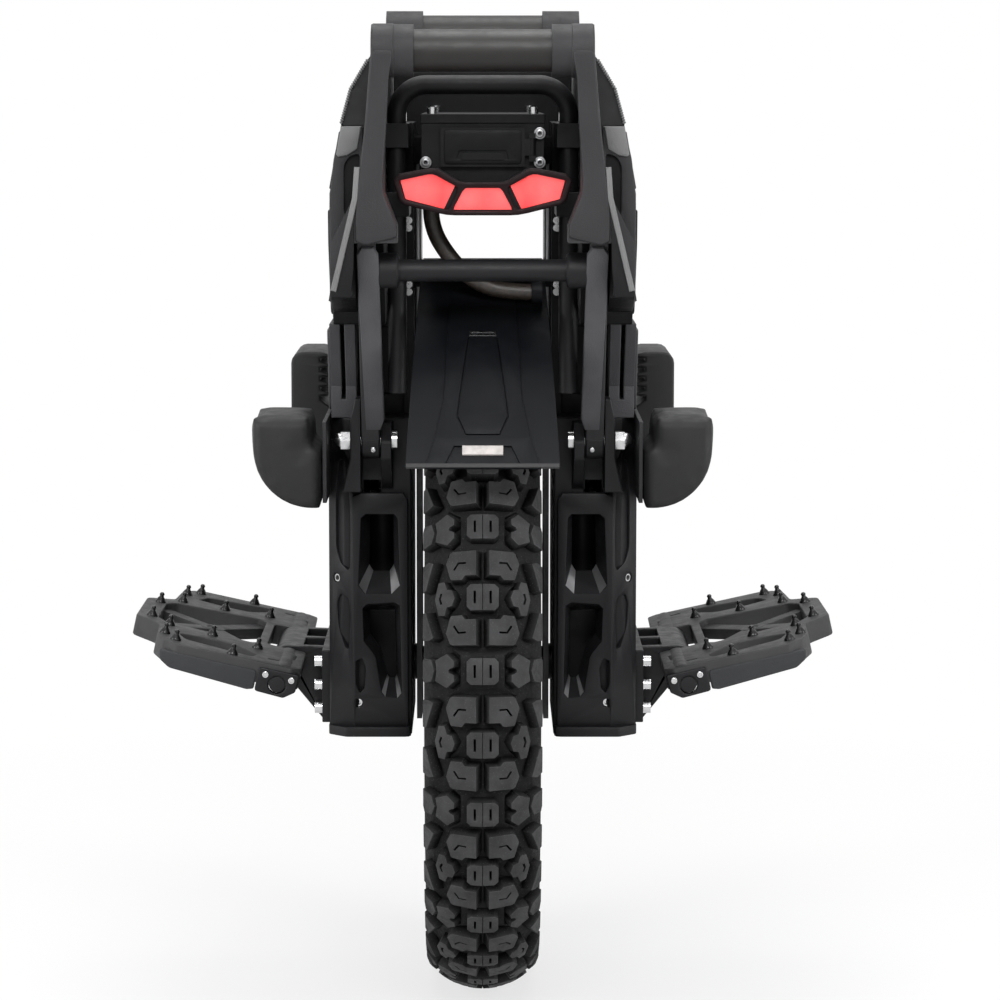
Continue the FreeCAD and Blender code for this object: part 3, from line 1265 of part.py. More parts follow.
def calf_pad():
    """Right calf pad behind the leg, drawn in towards both ends."""
    sections = [pad_section(-PAD_FAR, PAD_CROWN), pad_section(PAD_END - PAD_FAR, 0),
                pad_section(-PAD_NEAR - PAD_END, 0), pad_section(-PAD_NEAR, PAD_CROWN)]
    return Part.makeLoft(sections, True, True)


def shin_outline(draw):
    """Outline of a right shin pad seen from behind, toothed on its inner edge."""
    out = PAD_IN + SHIN_THICK - draw
    top = PAD_FOOT_Z + SHIN_HEIGHT - draw
    points = [(PAD_IN, PAD_FOOT_Z + draw), (out, PAD_FOOT_Z + draw), (out, top)]
    for tooth in range(SHIN_TOOTH_COUNT):
        height = PAD_FOOT_Z + SHIN_HEIGHT - SHIN_TOOTH - tooth * SHIN_TOOTH_PITCH
        points.append((PAD_IN + 2 * SHIN_TOOTH, height + SHIN_TOOTH - draw))
        points.append((PAD_IN + SHIN_TOOTH, height - SHIN_TOOTH))
    points.append((PAD_IN, PAD_FOOT_Z + PAD_HEIGHT))
    return points


def shin_pad():
    """Right shin pad in front of the leg, drawn in towards both ends."""
    sections = []
    crown = PAD_CROWN / 2
    stations = ((PAD_NEAR, crown), (PAD_NEAR + PAD_END, 0), (PAD_FAR - PAD_END, 0), (PAD_FAR, crown))
    for y, draw in stations:
        points = [FreeCAD.Vector(x, y, z) for x, z in shin_outline(draw)]
        sections.append(Part.makePolygon(points + [points[0]]))
    return Part.makeLoft(sections, True, True)


def pad_brackets():
    """Flat plates that hold the pads against the legs."""
    z_range = (PAD_FOOT_Z + PAD_PLATE_MARGIN, PAD_FOOT_Z + PAD_HEIGHT - PAD_PLATE_MARGIN)
    plate = box((LEG_OUT, PAD_IN), (PAD_PLATE_NEAR, PAD_PLATE_FAR), z_range)
    return both_sides(plate) + both_sides(flipped(plate))


def pedal_hanger():
    """Right hanger: a plate on the leg with a ribbed lug for the pedal's pin."""
    plate = box((LEG_OUT, HANGER_OUT), (-HANGER_HALF, HANGER_HALF), (HANGER_FOOT_Z, AXLE_Z + HANGER_RISE))
    span = (-LUG_HALF, LUG_HALF)
    lug = rod_y(LUG_RADIUS, span, PIVOT_X, PEDAL_PIVOT_Z)
    arm = prism_xz([(HANGER_OUT, HANGER_FOOT_Z), (HANGER_OUT, AXLE_Z + HANGER_RISE),
                    (PIVOT_X, PEDAL_PIVOT_Z + LUG_RADIUS), (PIVOT_X, PEDAL_PIVOT_Z - LUG_RADIUS)], span)
    pocket_x = (HANGER_OUT, PIVOT_X - LUG_RADIUS)
    pocket = box(pocket_x, (HANGER_RIB / 2, LUG_HALF - HANGER_RIB), (HANGER_FOOT_Z, AXLE_Z + 2 * HANGER_RISE))
    arm = arm.cut([pocket, flipped(pocket)])
    pin_hole = rod_y(PEDAL_PIN_RADIUS + SEAT_FIT, span, PIVOT_X, PEDAL_PIVOT_Z)
    return joined([plate, arm, lug]).cut([pin_hole] + hanger_bolt_holes())


def pedal_pins():
    """Hinge pins of the pedals, held in the hangers."""
    half = PEDAL_HALF - PEDAL_BOTTOM
    return both_sides(rod_y(PEDAL_PIN_RADIUS, (-half, half), PIVOT_X, PEDAL_PIVOT_Z))


def hanger_bolts():
    """Cap screws that hold the hangers on the legs."""
    bolts = []
    for y, z in hanger_bolt_places():
        shank = rod_x(SCREW_SHANK_RADIUS, (CAVITY_OUT, HANGER_OUT), y, z)
        head = rod_x(SCREW_HEAD_RADIUS, (HANGER_OUT, HANGER_OUT + SCREW_HEAD_HEIGHT), y, z)
        bolts.extend(both_sides(joined([shank, head])))
    return bolts


def pedal_edge(y):
    """Reach of the pedal's outer edge at a place along it."""
    if abs(y) <= PEDAL_NOSE_HALF:
        return PEDAL_REACH
    share = (PEDAL_HALF - abs(y)) / (PEDAL_HALF - PEDAL_NOSE_HALF)
    return PEDAL_CORNER_REACH + share * (PEDAL_REACH - PEDAL_CORNER_REACH)


def pedal_windows():
    """Openings in the pedal: one in its middle and one at each end."""
    rail = PEDAL_RIM / 2
    nose = PEDAL_NOSE_HALF - rail
    first = PEDAL_NOTCH + PEDAL_RIM
    last = PEDAL_REACH - PEDAL_RIM
    middle = [(first, -nose), (last, -nose), (last, nose), (first, nose)]
    near = PEDAL_NOSE_HALF + rail
    far = PEDAL_HALF - PEDAL_RIM
    root = PEDAL_BARREL + rail
    end = [(root, near), (pedal_edge(near) - PEDAL_RIM, near), (pedal_edge(far) - PEDAL_RIM, far),
           (root, far)]
    other = [(u, -y) for u, y in end]
    return [middle, end, other]


def spike_places():
    """Places of the spikes along the pedal's rails."""
    rail = PEDAL_RIM / 2
    places = []
    reach = PEDAL_HALF - PEDAL_RIM
    for step in range(SPIKE_ROW_COUNT):
        y = reach * (2 * step / (SPIKE_ROW_COUNT - 1) - 1)
        places.append((pedal_edge(y) - rail, y))
    for y in (PEDAL_NOSE_HALF, PEDAL_HALF - rail):
        for u in (PEDAL_BARREL + rail / 2, PEDAL_CORNER_REACH - 2 * PEDAL_RIM):
            places.append((u, y))
            places.append((u, -y))
    return places


def at_pedal(shape):
    """A shape drawn about the pedal's pivot, tilted and moved to its place on the right."""
    shape.rotate(ORIGIN, AXIS_Y, -PEDAL_TILT)
    shape.translate(FreeCAD.Vector(PIVOT_X, 0, PEDAL_PIVOT_Z))
    return shape


def pedal():
    """Right pedal: an open frame with two hinge barrels."""
    lug = LUG_HALF + PEDAL_LUG_GAP
    plan = [(-PEDAL_TAIL, -PEDAL_HALF), (PEDAL_CORNER_REACH, -PEDAL_HALF), (PEDAL_REACH, -PEDAL_NOSE_HALF),
            (PEDAL_REACH, PEDAL_NOSE_HALF), (PEDAL_CORNER_REACH, PEDAL_HALF), (-PEDAL_TAIL, PEDAL_HALF),
            (-PEDAL_TAIL, lug), (PEDAL_NOTCH, lug), (PEDAL_NOTCH, -lug), (-PEDAL_TAIL, -lug)]
    deck = prism_xy(plan, (-PEDAL_BOTTOM, PEDAL_TOP))
    deck = deck.cut([prism_xy(window, (-PEDAL_BOTTOM, PEDAL_TOP)) for window in pedal_windows()])
    barrels = [rod_y(PEDAL_BARREL, (lug, PEDAL_HALF), 0, 0), rod_y(PEDAL_BARREL, (-PEDAL_HALF, -lug), 0, 0)]
    bore = rod_y(PEDAL_PIN_RADIUS + RUNNING_FIT, (-PEDAL_HALF, PEDAL_HALF), 0, 0)
    depth = (PEDAL_TOP - SPIKE_SINK, PEDAL_TOP)
    sockets = [rod_z(SPIKE_SHANK + SEAT_FIT, depth, u, y) for u, y in spike_places()]
    return at_pedal(joined([deck] + barrels).cut([bore] + sockets))


def pedal_spikes():
    """Pointed grip spikes screwed into the right pedal."""
    spikes = []
    for u, y in spike_places():
        shank = rod_z(SPIKE_SHANK, (PEDAL_TOP - SPIKE_SINK, PEDAL_TOP), u, y)
        point = Part.makeCone(SPIKE_RADIUS, SPIKE_SHANK / 2, SPIKE_HEIGHT, FreeCAD.Vector(u, y, PEDAL_TOP))
        spikes.append(at_pedal(joined([shank, point])))
    return spikes


def casing_screws():
    """Screws of the lid, of the box's back and of the guide columns."""
    screws = []
    for x, y in lid_screw_places():
        shank = rod_z(LID_SCREW_SHANK, (BOX_TOP, LID_TOP), x, y)
        head = rod_z(LID_POST_RADIUS, (LID_TOP, LID_TOP + LID_POST_HEIGHT), x, y)
        screws.append(joined([shank, head]))
    low, high = door_rise()
    back = (BOX_REAR - SMALL_HEAD_HEIGHT, BOX_REAR)
    edge = BOX_HALF - SMALL_HEAD_RADIUS
    screws.extend(both_sides(rod_y(SMALL_HEAD_RADIUS, back, edge, low + SMALL_HEAD_RADIUS)))
    screws.append(rod_y(SMALL_HEAD_RADIUS, back, BOX_HALF - SMALL_HEAD_RADIUS, high - DOOR_LUG_HEIGHT))
    column_back = (-COLUMN_HALF - SMALL_HEAD_HEIGHT, -COLUMN_HALF)
    column_middle = (COLUMN_IN + COLUMN_OUT) / 2
    guide_foot = COLUMN_TOP - GUIDE_SPACING - GUIDE_HEIGHT
    for height in (guide_foot - 2 * SMALL_HEAD_RADIUS, MUD_CENTRE_Z + MUD_INNER - MUD_WING_DEPTH):
        for lower in (0, 2 * SMALL_HEAD_RADIUS):
            screws.extend(both_sides(rod_y(SMALL_HEAD_RADIUS, column_back, column_middle, height - lower)))
    return screws


def build():
    """Make every node and write it to its own file."""
    os.makedirs("parts", exist_ok=True)
    save("tyre", [tyre()])
    save("rim", [rim()])
    save("motor_covers", motor_covers())
    save("motor_cover_screws", motor_cover_screws())
    save("wheel_bearings", wheel_bearings())
    save("magnets", magnets())
    save("axle", [axle()])
    save("stator", [stator()])
    save("windings", windings())
    save("slider_plates", slider_plates())
    save("axle_blocks", axle_blocks())
    save("axle_nuts", axle_nuts())
    save("shock_bodies", shock_bodies())
    save("shock_rods", shock_rods())
    save("side_frames", side_frames())
    save("guide_columns", guide_columns())
    save("rear_stays", rear_stays())
    save("cross_tube", [cross_tube()])
    save("stay_bolts", stay_bolts())
    rear_bar_z = SHELL_SEAM + REAR_BAR_RISE
    front_bar_z = SHELL_SEAM + FRONT_BAR_RISE
    save("rear_handle_bar", [handle_bar(rear_bar_z)])
    save("front_handle_bar", [flipped(handle_bar(front_bar_z))])
    save("upper_shells", upper_shells())
    save("batteries", batteries())
    save("controller_box", [controller_box()])
    save("controller_board", [controller_board()])
    save("controller_lid", [controller_lid()])
    save("charge_port_door", [charge_port_door()])
    save("casing_screws", casing_screws())
    save("tail_light_housing", [tail_light_housing()])
    save("tail_light_lenses", tail_light_lenses())
    save("dash_housing", [dash_housing()])
    save("display_window", [display_window()])
    save("headlight_lens", [headlight_lens()])
    save("power_button", [power_button()])
    save("trolley_guides", trolley_guides())
    save("trolley_handle", [trolley_handle()])
    save("mudguard", [mudguard()])
    save("mudguard_reflector", [mudguard_reflector()])
    save("motor_cable", [motor_cable()])
    save("pad_brackets", pad_brackets())
    save("pedal_pins", pedal_pins())
    save("hanger_bolts", hanger_bolts())
    for side, name in ((LEFT, "left"), (RIGHT, "right")):
        save("leg_" + name, [on_side(leg(), side)])
        save("rear_pillar_" + name, [on_side(pillar(rear_bar_z), side)])
        save("front_pillar_" + name, [on_side(flipped(pillar(front_bar_z)), side)])
        save("side_shell_" + name, [on_side(side_shell(), side)])
        save("calf_pad_" + name, [on_side(calf_pad(), side)])
        save("shin_pad_" + name, [on_side(shin_pad(), side)])
        save("pedal_hanger_" + name, [on_side(pedal_hanger(), side)])
        save("pedal_" + name, [on_side(pedal(), side)])
        save("pedal_spikes_" + name, [on_side(spike, side) for spike in pedal_spikes()])


build()
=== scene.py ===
import math

import bmesh
import bpy
import numpy as np
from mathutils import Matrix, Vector


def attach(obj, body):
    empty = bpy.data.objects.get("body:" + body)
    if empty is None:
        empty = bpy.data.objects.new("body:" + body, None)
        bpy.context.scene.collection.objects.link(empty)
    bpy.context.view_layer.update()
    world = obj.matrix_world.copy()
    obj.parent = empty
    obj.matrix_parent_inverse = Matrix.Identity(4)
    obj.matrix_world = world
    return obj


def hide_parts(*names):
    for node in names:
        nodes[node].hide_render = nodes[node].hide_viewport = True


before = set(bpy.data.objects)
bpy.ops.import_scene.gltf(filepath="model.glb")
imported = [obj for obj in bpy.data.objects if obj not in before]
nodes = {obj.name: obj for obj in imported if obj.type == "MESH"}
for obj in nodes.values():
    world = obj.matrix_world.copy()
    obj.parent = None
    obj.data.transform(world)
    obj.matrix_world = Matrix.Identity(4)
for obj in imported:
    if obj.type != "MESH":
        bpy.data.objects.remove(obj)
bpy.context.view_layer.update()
MM = 0.001
SMOOTH = 35.0
HANDS = ((-1, "left"), (1, "right"))
MIRRORS = ((-1, 1, 1), (1, -1, 1), (-1, -1, 1))
BACK = ((1, 0, 0), (0, 0, 1))
SIDE = ((0, 1, 0), (0, 0, 1))


# Meshes

def new_object(name, data):
    """An object put into the scene."""
    obj = bpy.data.objects.new(name, data)
    bpy.context.scene.collection.objects.link(obj)
    return obj


def shade(obj, angle):
    """Smooth shading with edges sharper than the angle left sharp."""
    for polygon in obj.data.polygons:
        polygon.use_smooth = True
    obj.data.set_sharp_from_angle(angle=math.radians(angle))


def mesh_object(name, verts, faces, smooth=SMOOTH):
    """An object of points given in millimetres and their faces."""
    mesh = bpy.data.meshes.new(name)
    mesh.from_pydata((np.asarray(verts, float) * MM).tolist(), [], faces)
    work = bmesh.new()
    work.from_mesh(mesh)
    bmesh.ops.recalc_face_normals(work, faces=work.faces)
    work.to_mesh(mesh)
    work.free()
    obj = new_object(name, mesh)
    shade(obj, smooth)
    return obj


def flat_block(outline, holes, height, edge, steps=1, cuts=()):
    """Points and faces of a prism with rounded rims, drawn flat in millimetres, its top at z = 0."""
    curve = bpy.data.curves.new("block", "CURVE")
    curve.dimensions = "2D"
    curve.fill_mode = "BOTH"
    curve.extrude = height / 2 - edge
    curve.bevel_depth = edge
    curve.bevel_resolution = steps
    curve.offset = -edge
    for loop in [outline] + list(holes):
        spline = curve.splines.new("POLY")
        spline.points.add(len(loop) - 1)
        for point, (s, t) in zip(spline.points, loop):
            point.co = (s, t, 0.0, 1.0)
        spline.use_cyclic_u = True
    holder = new_object("block", curve)
    bpy.context.view_layer.update()
    mesh = bpy.data.meshes.new_from_object(holder)
    work = bmesh.new()
    work.from_mesh(mesh)
    bmesh.ops.remove_doubles(work, verts=work.verts, dist=0.001)
    for cut in cuts:
        parts = list(work.verts) + list(work.edges) + list(work.faces)
        bmesh.ops.bisect_plane(work, geom=parts, plane_co=(0.0, cut, 0.0), plane_no=(0.0, 1.0, 0.0))
    bmesh.ops.recalc_face_normals(work, faces=work.faces)
    work.verts.index_update()
    points = np.array([vert.co[:] for vert in work.verts])
    faces = [[vert.index for vert in face.verts] for face in work.faces]
    work.free()
    bpy.data.meshes.remove(mesh)
    bpy.data.objects.remove(holder)
    bpy.data.curves.remove(curve)
    points[:, 2] -= points[:, 2].max()
    return points, faces


def ring_faces(rings, count, closed=False):
    """Faces between rings of points, where closed joins the last ring to the first."""
    faces = []
    for ring in range(rings if closed else rings - 1):
        here = ring * count
        there = (ring + 1) % rings * count
        for step in range(count):
            after = (step + 1) % count
            faces.append((here + step, here + after, there + after, there + step))
    return faces


def barrel_faces(rings, count):
    """Faces of a form of rings with both ends shut."""
    ends = [tuple(range(count)), tuple(range((rings - 1) * count, rings * count))]
    return ring_faces(rings, count) + ends


# Loops

def flip_x(loop):
    """A loop mirrored to the other side."""
    return [(-x, t) for x, t in reversed(loop)]


def flip_y(loop):
    """A loop mirrored to the other end."""
    return [(x, -y) for x, y in loop]


def mirrored(side):
    """A closed loop from the points of its right side."""
    return list(side) + flip_x(side)


def both_ends(loop):
    """A closed loop from the points of the half towards the front."""
    return list(loop) + [(u, -y) for u, y in reversed(loop) if y > 0]


def slot(path, width):
    """Outline of a narrow slot along a path."""
    left = []
    right = []
    for index, (x, t) in enumerate(path):
        before = path[max(index - 1, 0)]
        after = path[min(index + 1, len(path) - 1)]
        size = math.hypot(after[0] - before[0], after[1] - before[1])
        nx = (before[1] - after[1]) / size * width / 2
        nt = (after[0] - before[0]) / size * width / 2
        left.append((x + nx, t + nt))
        right.append((x - nx, t - nt))
    return left + right[::-1]


def circle(x, y, radius, count=16):
    """A round loop."""
    angles = [2 * math.pi * step / count for step in range(count)]
    return [(x + radius * math.cos(angle), y + radius * math.sin(angle)) for angle in angles]


def quarter(x, z, radius, steps, upper=False):
    """Points round an outer corner, the lower or the upper one."""
    angles = [math.pi / 2 * step / steps for step in range(steps + 1)]
    if upper:
        return [(x + radius * math.cos(angle), z + radius * math.sin(angle)) for angle in angles]
    return [(x + radius * math.sin(angle), z - radius * math.cos(angle)) for angle in angles]


def rounded(loop, share=0.22):
    """A loop with each corner cut by a share of its shorter side."""
    points = []
    for index, here in enumerate(loop):
        before = np.array(loop[index - 1])
        after = np.array(loop[(index + 1) % len(loop)])
        here = np.array(here)
        cut = share * min(np.linalg.norm(before - here), np.linalg.norm(after - here))
        start = here + (before - here) / np.linalg.norm(before - here) * cut
        end = here + (after - here) / np.linalg.norm(after - here) * cut
        points += [tuple(start), tuple(start * 0.25 + here * 0.5 + end * 0.25), tuple(end)]
    return points


def all_rounded(loops, share):
    """Several loops with rounded corners."""
    return [rounded(loop, share) for loop in loops]


def inset(loop, by):
    """A loop drawn in by a margin."""
    middle = np.mean(np.array(loop), axis=0)
    size = np.ptp(np.array(loop), axis=0)
    share = 1 - 2 * by / size
    return [tuple(middle + (np.array(point) - middle) * share) for point in loop]


# Tyre, in millimetres: blocks as axial places, or distances from the crown, and places along the tread

WHEEL_Z = 254.0
TYRE_R = 254.0
TYRE_STEPS = 180
CROWN_R = 53.4
CROWN_S = 45.2
SHOULDER_R = 12.0
TREAD_H = 10.0
SHOULDER_H = 8.0
PERIODS = 15
ROW_ANGLE = 2 * math.pi / 30
HALF_PITCH = ROW_ANGLE * TYRE_R
FIRST_ROW = -0.56
BLOCK_EDGE = 0.4
BLOCK_DRAFT = 0.012
# Levels of the lighter rubber colour by depth: lighter block tops for wear, the highest level on each block's
# rounded rim as a painted highlight, and low levels on the block walls, the carcass and the sunken platforms
# as painted shade in the grooves.
CARCASS_SHADE_LEVEL = 0.1
SUNKEN_SHADE_SHARE = 0.25
WEAR_AND_LIGHT_DEPTHS = (-2.0, -0.42, -0.15, 0.0)
WEAR_AND_LIGHT_LEVELS = (0.0, 0.25, 1.0, 0.62)
CARCASS_REACH = 50.0
CARCASS_POINTS = 41
CARCASS_DEPTH = 9.6
CARCASS_DRAW = 0.72
WALL = [(41.2, 219), (42.2, 216), (41.4, 213.5), (41.9, 209), (41.3, 204), (40.6, 199), (41.4, 197.5),
        (41.4, 195.5), (40, 194), (38.2, 190), (34.8, 186.4), (33.8, 184), (33.8, 178.2)]
LINING = [(28, 178.2), (28, 186), (34, 196), (36, 212), (33, 228), (20, 236)]
LINING_TOP = (0, 239)


def across(loop):
    """A loop given by axial places, as distances from the crown."""
    return [(math.copysign(CROWN_R * math.asin(abs(x) / CROWN_R), x), t) for x, t in loop]


def flip_t(loop):
    """A loop mirrored along the tread about the next row."""
    return [(x, 2 * HALF_PITCH - t) for x, t in reversed(loop)]


def moved(loop):
    """A loop moved along the tread to the next row."""
    return [(x, t + HALF_PITCH) for x, t in loop]


TWIN = across([(0.3, -9.4), (8.6, -9.4), (11.4, -6.6), (11.4, 6.8), (8.6, 9.6), (0.3, 9.6)])
TWIN_SLOT = slot([(5.7, -4.4), (5.7, 4.6)], 1.7)
WIDE = across([(4.9, 18.6), (21.6, 18.6), (23.4, 19.8), (26.2, 27.2), (23.2, 38.8), (22.4, 39.9), (15, 40.2),
               (12.8, 37.2), (4.9, 37.2)])
WIDE_SLOT = across(slot([(20.6, 32.6), (17.4, 27.6), (12, 27.8)], 1.4))
HEX = across([(20.6, -7.4), (25.7, -12.4), (34, -7.6), (33, 0), (34, 7.6), (25.7, 12.4), (20.6, 7.4),
              (20.9, 2.8), (23.9, 1.4), (24.6, 0), (23.9, -1.4), (20.9, -2.8)])
OCTAGON = across([(27.4, -12.6), (31.6, -12.2), (34.2, 0), (31.6, 12.2), (27.4, 12.6), (25.7, 6.6),
                  (22.2, 5.8), (20.2, 0), (22.2, -5.8), (25.7, -6.6)])
OCTAGON_SLOT = across(slot([(29.6, -4), (30.7, 0), (29.6, 4)], 1.4))
SHOULDER_A = [(38, 0), (41, -8.2), (49, -9.4), (55.5, -8), (57.5, 0), (55.5, 8), (49, 9.4), (41, 8.2)]
SHOULDER_L = [(39, 24.6), (43.6, 22.6), (52, 23.4), (57, 27), (57, 41), (52, 45), (46.4, 44.4), (43, 35)]
PLATFORM_A = across([(-22.5, -16.8), (22.5, -16.8), (14.6, -10.4), (14.6, 10.4), (22.5, 16.8), (-22.5, 16.8),
                     (-14.6, 10.4), (-14.6, -10.4)])
PLATFORM_B = across([(-22, -11.4), (22, -11.4), (17.4, -6.4), (17.4, 6.4), (22, 11.4), (-22, 11.4),
                     (-17.4, 6.4), (-17.4, -6.4)])
PLATFORMS = [(PLATFORM_A, [], 6.5, 4.0), (moved(PLATFORM_B), [], 7.4, 3.0)]


def profile(s):
    """Axial place, radius and lean of the tread's surface at a distance s from the crown."""
    side = np.sign(s)
    s = np.abs(s)
    last = CROWN_S / CROWN_R
    lean = np.minimum(s, CROWN_S) / CROWN_R
    turn = np.clip((s - CROWN_S) / SHOULDER_R, 0, math.pi / 2 - last)
    down = np.maximum(s - CROWN_S - SHOULDER_R * (math.pi / 2 - last), 0)
    x = CROWN_R * np.sin(lean) + SHOULDER_R * (np.sin(last + turn) - math.sin(last))
    r = TYRE_R - CROWN_R * (1 - np.cos(lean)) - SHOULDER_R * (math.cos(last) - np.cos(last + turn)) - down
    return side * x, r, side * (lean + turn)


def on_tyre(points, row):
    """Flat block points moved on to the tyre at a row angle, spreading a little towards their foot."""
    s_mid = (points[:, 0].min() + points[:, 0].max()) / 2
    t_mid = (points[:, 1].min() + points[:, 1].max()) / 2
    depth = -points[:, 2]
    s = points[:, 0] + (points[:, 0] - s_mid) * BLOCK_DRAFT * depth
    t = points[:, 1] + (points[:, 1] - t_mid) * BLOCK_DRAFT * depth
    x, r, lean = profile(s)
    middle = profile(np.array([s_mid]))[2][0]
    x = x - depth * math.sin(middle)
    r = r - depth * math.cos(middle)
    angle = row + t / TYRE_R
    return np.column_stack([x, -r * np.cos(angle), WHEEL_Z - r * np.sin(angle)])


def tread_period():
    """Blocks of one period of the tread: outline, slots, drop of the top and height."""
    half = [(TWIN, [TWIN_SLOT], TREAD_H), (HEX, [], TREAD_H), (SHOULDER_A, [], SHOULDER_H),
            (moved(TWIN), [moved(TWIN_SLOT)], TREAD_H), (moved(OCTAGON), [moved(OCTAGON_SLOT)], TREAD_H)]
    for loop, holes, height in ((WIDE, [WIDE_SLOT], TREAD_H), (SHOULDER_L, [], SHOULDER_H)):
        half.append((loop, holes, height))
        half.append((flip_t(loop), [flip_t(hole) for hole in holes], height))
    blocks = [(loop, holes, 0.0, height) for loop, holes, height in half]
    for loop, holes, height in half:
        blocks.append((flip_x(loop), [flip_x(hole) for hole in holes], 0.0, height))
    return blocks + PLATFORMS


def tyre_section():
    """Outer and inner line of the carcass below the blocks, with moulded rings on its walls."""
    x, r, lean = profile(np.linspace(-CARCASS_REACH, CARCASS_REACH, CARCASS_POINTS))
    crown = [(a - CARCASS_DEPTH * math.sin(c) * CARCASS_DRAW, b - CARCASS_DEPTH * math.cos(c))
             for a, b, c in zip(x, r, lean)]
    return flip_x(WALL) + crown + WALL + LINING + [LINING_TOP] + flip_x(LINING)


def carcass():
    """Points and faces of the carcass turned about the axle."""
    section = tyre_section()
    verts = []
    for step in range(TYRE_STEPS):
        angle = 2 * math.pi * step / TYRE_STEPS
        verts.extend((x, -r * math.cos(angle), WHEEL_Z - r * math.sin(angle)) for x, r in section)
    return np.array(verts), ring_faces(TYRE_STEPS, len(section), True)


def tyre():
    """The tyre with every tread block."""
    first, faces = carcass()
    verts = [first]
    wear_and_painted_light = [np.full(len(first), CARCASS_SHADE_LEVEL)]
    count = len(first)
    for loop, holes, drop, height in tread_period():
        points, block = flat_block(loop, holes, height, BLOCK_EDGE)
        # Painted highlight on each block's rim, painted shade down its walls and darker still on sunken
        # platforms; the tops are lighter for wear.
        rub_and_light = np.interp(points[:, 2], WEAR_AND_LIGHT_DEPTHS, WEAR_AND_LIGHT_LEVELS) * (SUNKEN_SHADE_SHARE if drop else 1.0)
        points[:, 2] -= drop
        for period in range(PERIODS):
            placed = on_tyre(points, FIRST_ROW + 2 * period * ROW_ANGLE)
            faces.extend([[count + index for index in face] for face in block])
            verts.append(placed)
            wear_and_painted_light.append(rub_and_light)
            count += len(placed)
    obj = mesh_object("tyre_tread", np.vstack(verts), faces, 32.0)
    layer = obj.data.attributes.new("wear_and_painted_light", "FLOAT", "POINT")
    layer.data.foreach_set("value", np.concatenate(wear_and_painted_light))
    return obj


# Materials

GRAIN_REACH = 0.0004
LAMP_SPOTS = [(side * x, -0.17, z) for x, z in ((0.0465, 0.627), (0.012, 0.62)) for side in (-1, 1)]
SPOT_MIDDLE = 0.002
SPOT_REACH = 0.02


def wire(tree, node, values):
    """Values set on a node's sockets, or links made to them from other nodes' sockets."""
    for socket, value in values.items():
        if isinstance(value, bpy.types.NodeSocket):
            tree.links.new(value, node.inputs[socket])
        else:
            node.inputs[socket].default_value = value


def add_node(tree, kind, values=None, **settings):
    """A new shader node with its settings and its sockets."""
    node = tree.nodes.new("ShaderNode" + kind)
    for setting, value in settings.items():
        setattr(node, setting, value)
    wire(tree, node, values or {})
    return node


class Surface:
    """A procedural material: mottled colour, fine grain and uneven gloss."""

    def __init__(self, name, colour, rough, metallic=0.0, specular=0.5):
        self.material = bpy.data.materials.new(name)
        self.material.use_nodes = True
        self.tree = self.material.node_tree
        self.shader = self.tree.nodes["Principled BSDF"]
        self.place = self.add("TexCoord").outputs["Object"]
        self.paint = (*colour, 1.0)
        self.rough = rough
        self.fill({"Base Color": self.paint, "Roughness": rough, "Metallic": metallic,
                   "Specular IOR Level": specular})

    def add(self, kind, values=None, **settings):
        """A node of this material."""
        return add_node(self.tree, kind, values, **settings)

    def fill(self, values):
        """Values or links of the main shader."""
        wire(self.tree, self.shader, values)
        return self

    def noise(self, scale, detail=3.0):
        """A noise texture over the object, in features a metre."""
        return self.add("TexNoise", {"Scale": scale, "Detail": detail, "Vector": self.place}).outputs["Fac"]

    def spread(self, source, low, high, first=0.35, last=0.65):
        """A value spread between two limits."""
        limits = {"Value": source, "From Min": first, "From Max": last, "To Min": low, "To Max": high}
        return self.add("MapRange", limits).outputs["Result"]

    def mix(self, factor, colour):
        """Another colour laid over the paint where the factor is high."""
        node = self.add("Mix", {"Factor": factor, "A": self.paint, "B": (*colour, 1.0)}, data_type="RGBA")
        self.paint = node.outputs["Result"]
        return self.fill({"Base Color": self.paint})

    def mottle(self, scale, amount, lighter):
        """Broad patches of a second shade."""
        return self.mix(self.spread(self.noise(scale), 0.0, amount), lighter)

    def flecks(self, scale, colour, first, last, amount):
        """Small specks of another colour."""
        return self.mix(self.spread(self.noise(scale, 1.0), 0.0, amount, first, last), colour)

    def worn_and_lit(self, layer, colour):
        """Another colour where a value stored on the mesh's points is high."""
        return self.mix(self.add("Attribute", attribute_name=layer).outputs["Fac"], colour)

    def gloss(self, scale, change):
        """Roughness that varies over the surface."""
        value = self.spread(self.noise(scale), self.rough - change, self.rough + change)
        return self.fill({"Roughness": value})

    def grain(self, scale, strength):
        """Fine bumps."""
        height = self.noise(scale, 2.0)
        bump = self.add("Bump", {"Strength": strength, "Distance": GRAIN_REACH, "Height": height})
        return self.fill({"Normal": bump.outputs["Normal"]})

    def glow(self, colour, strength, spots, spot_colour):
        """Light given off by the surface, brighter near the lamps behind it."""
        nearest = None
        for spot in spots:
            gap = self.add("VectorMath", {0: self.place, 1: spot}, operation="DISTANCE").outputs["Value"]
            if nearest is not None:
                gap = self.add("Math", {0: nearest, 1: gap}, operation="MINIMUM").outputs["Value"]
            nearest = gap
        near = self.spread(nearest, 1.0, 0.0, SPOT_MIDDLE, SPOT_REACH)
        shades = {"Factor": near, "A": (*colour, 1.0), "B": (*spot_colour, 1.0)}
        node = self.add("Mix", shades, data_type="RGBA")
        return self.fill({"Emission Color": node.outputs["Result"], "Emission Strength": strength})


def painted(name, colour, rough, specular, grain, strength, lighter, metallic=0.0):
    """A satin coat with fine grain and a little dust."""
    surface = Surface(name, colour, rough, metallic, specular)
    return surface.mottle(28.0, 0.5, lighter).gloss(120.0, 0.06).grain(grain, strength).material
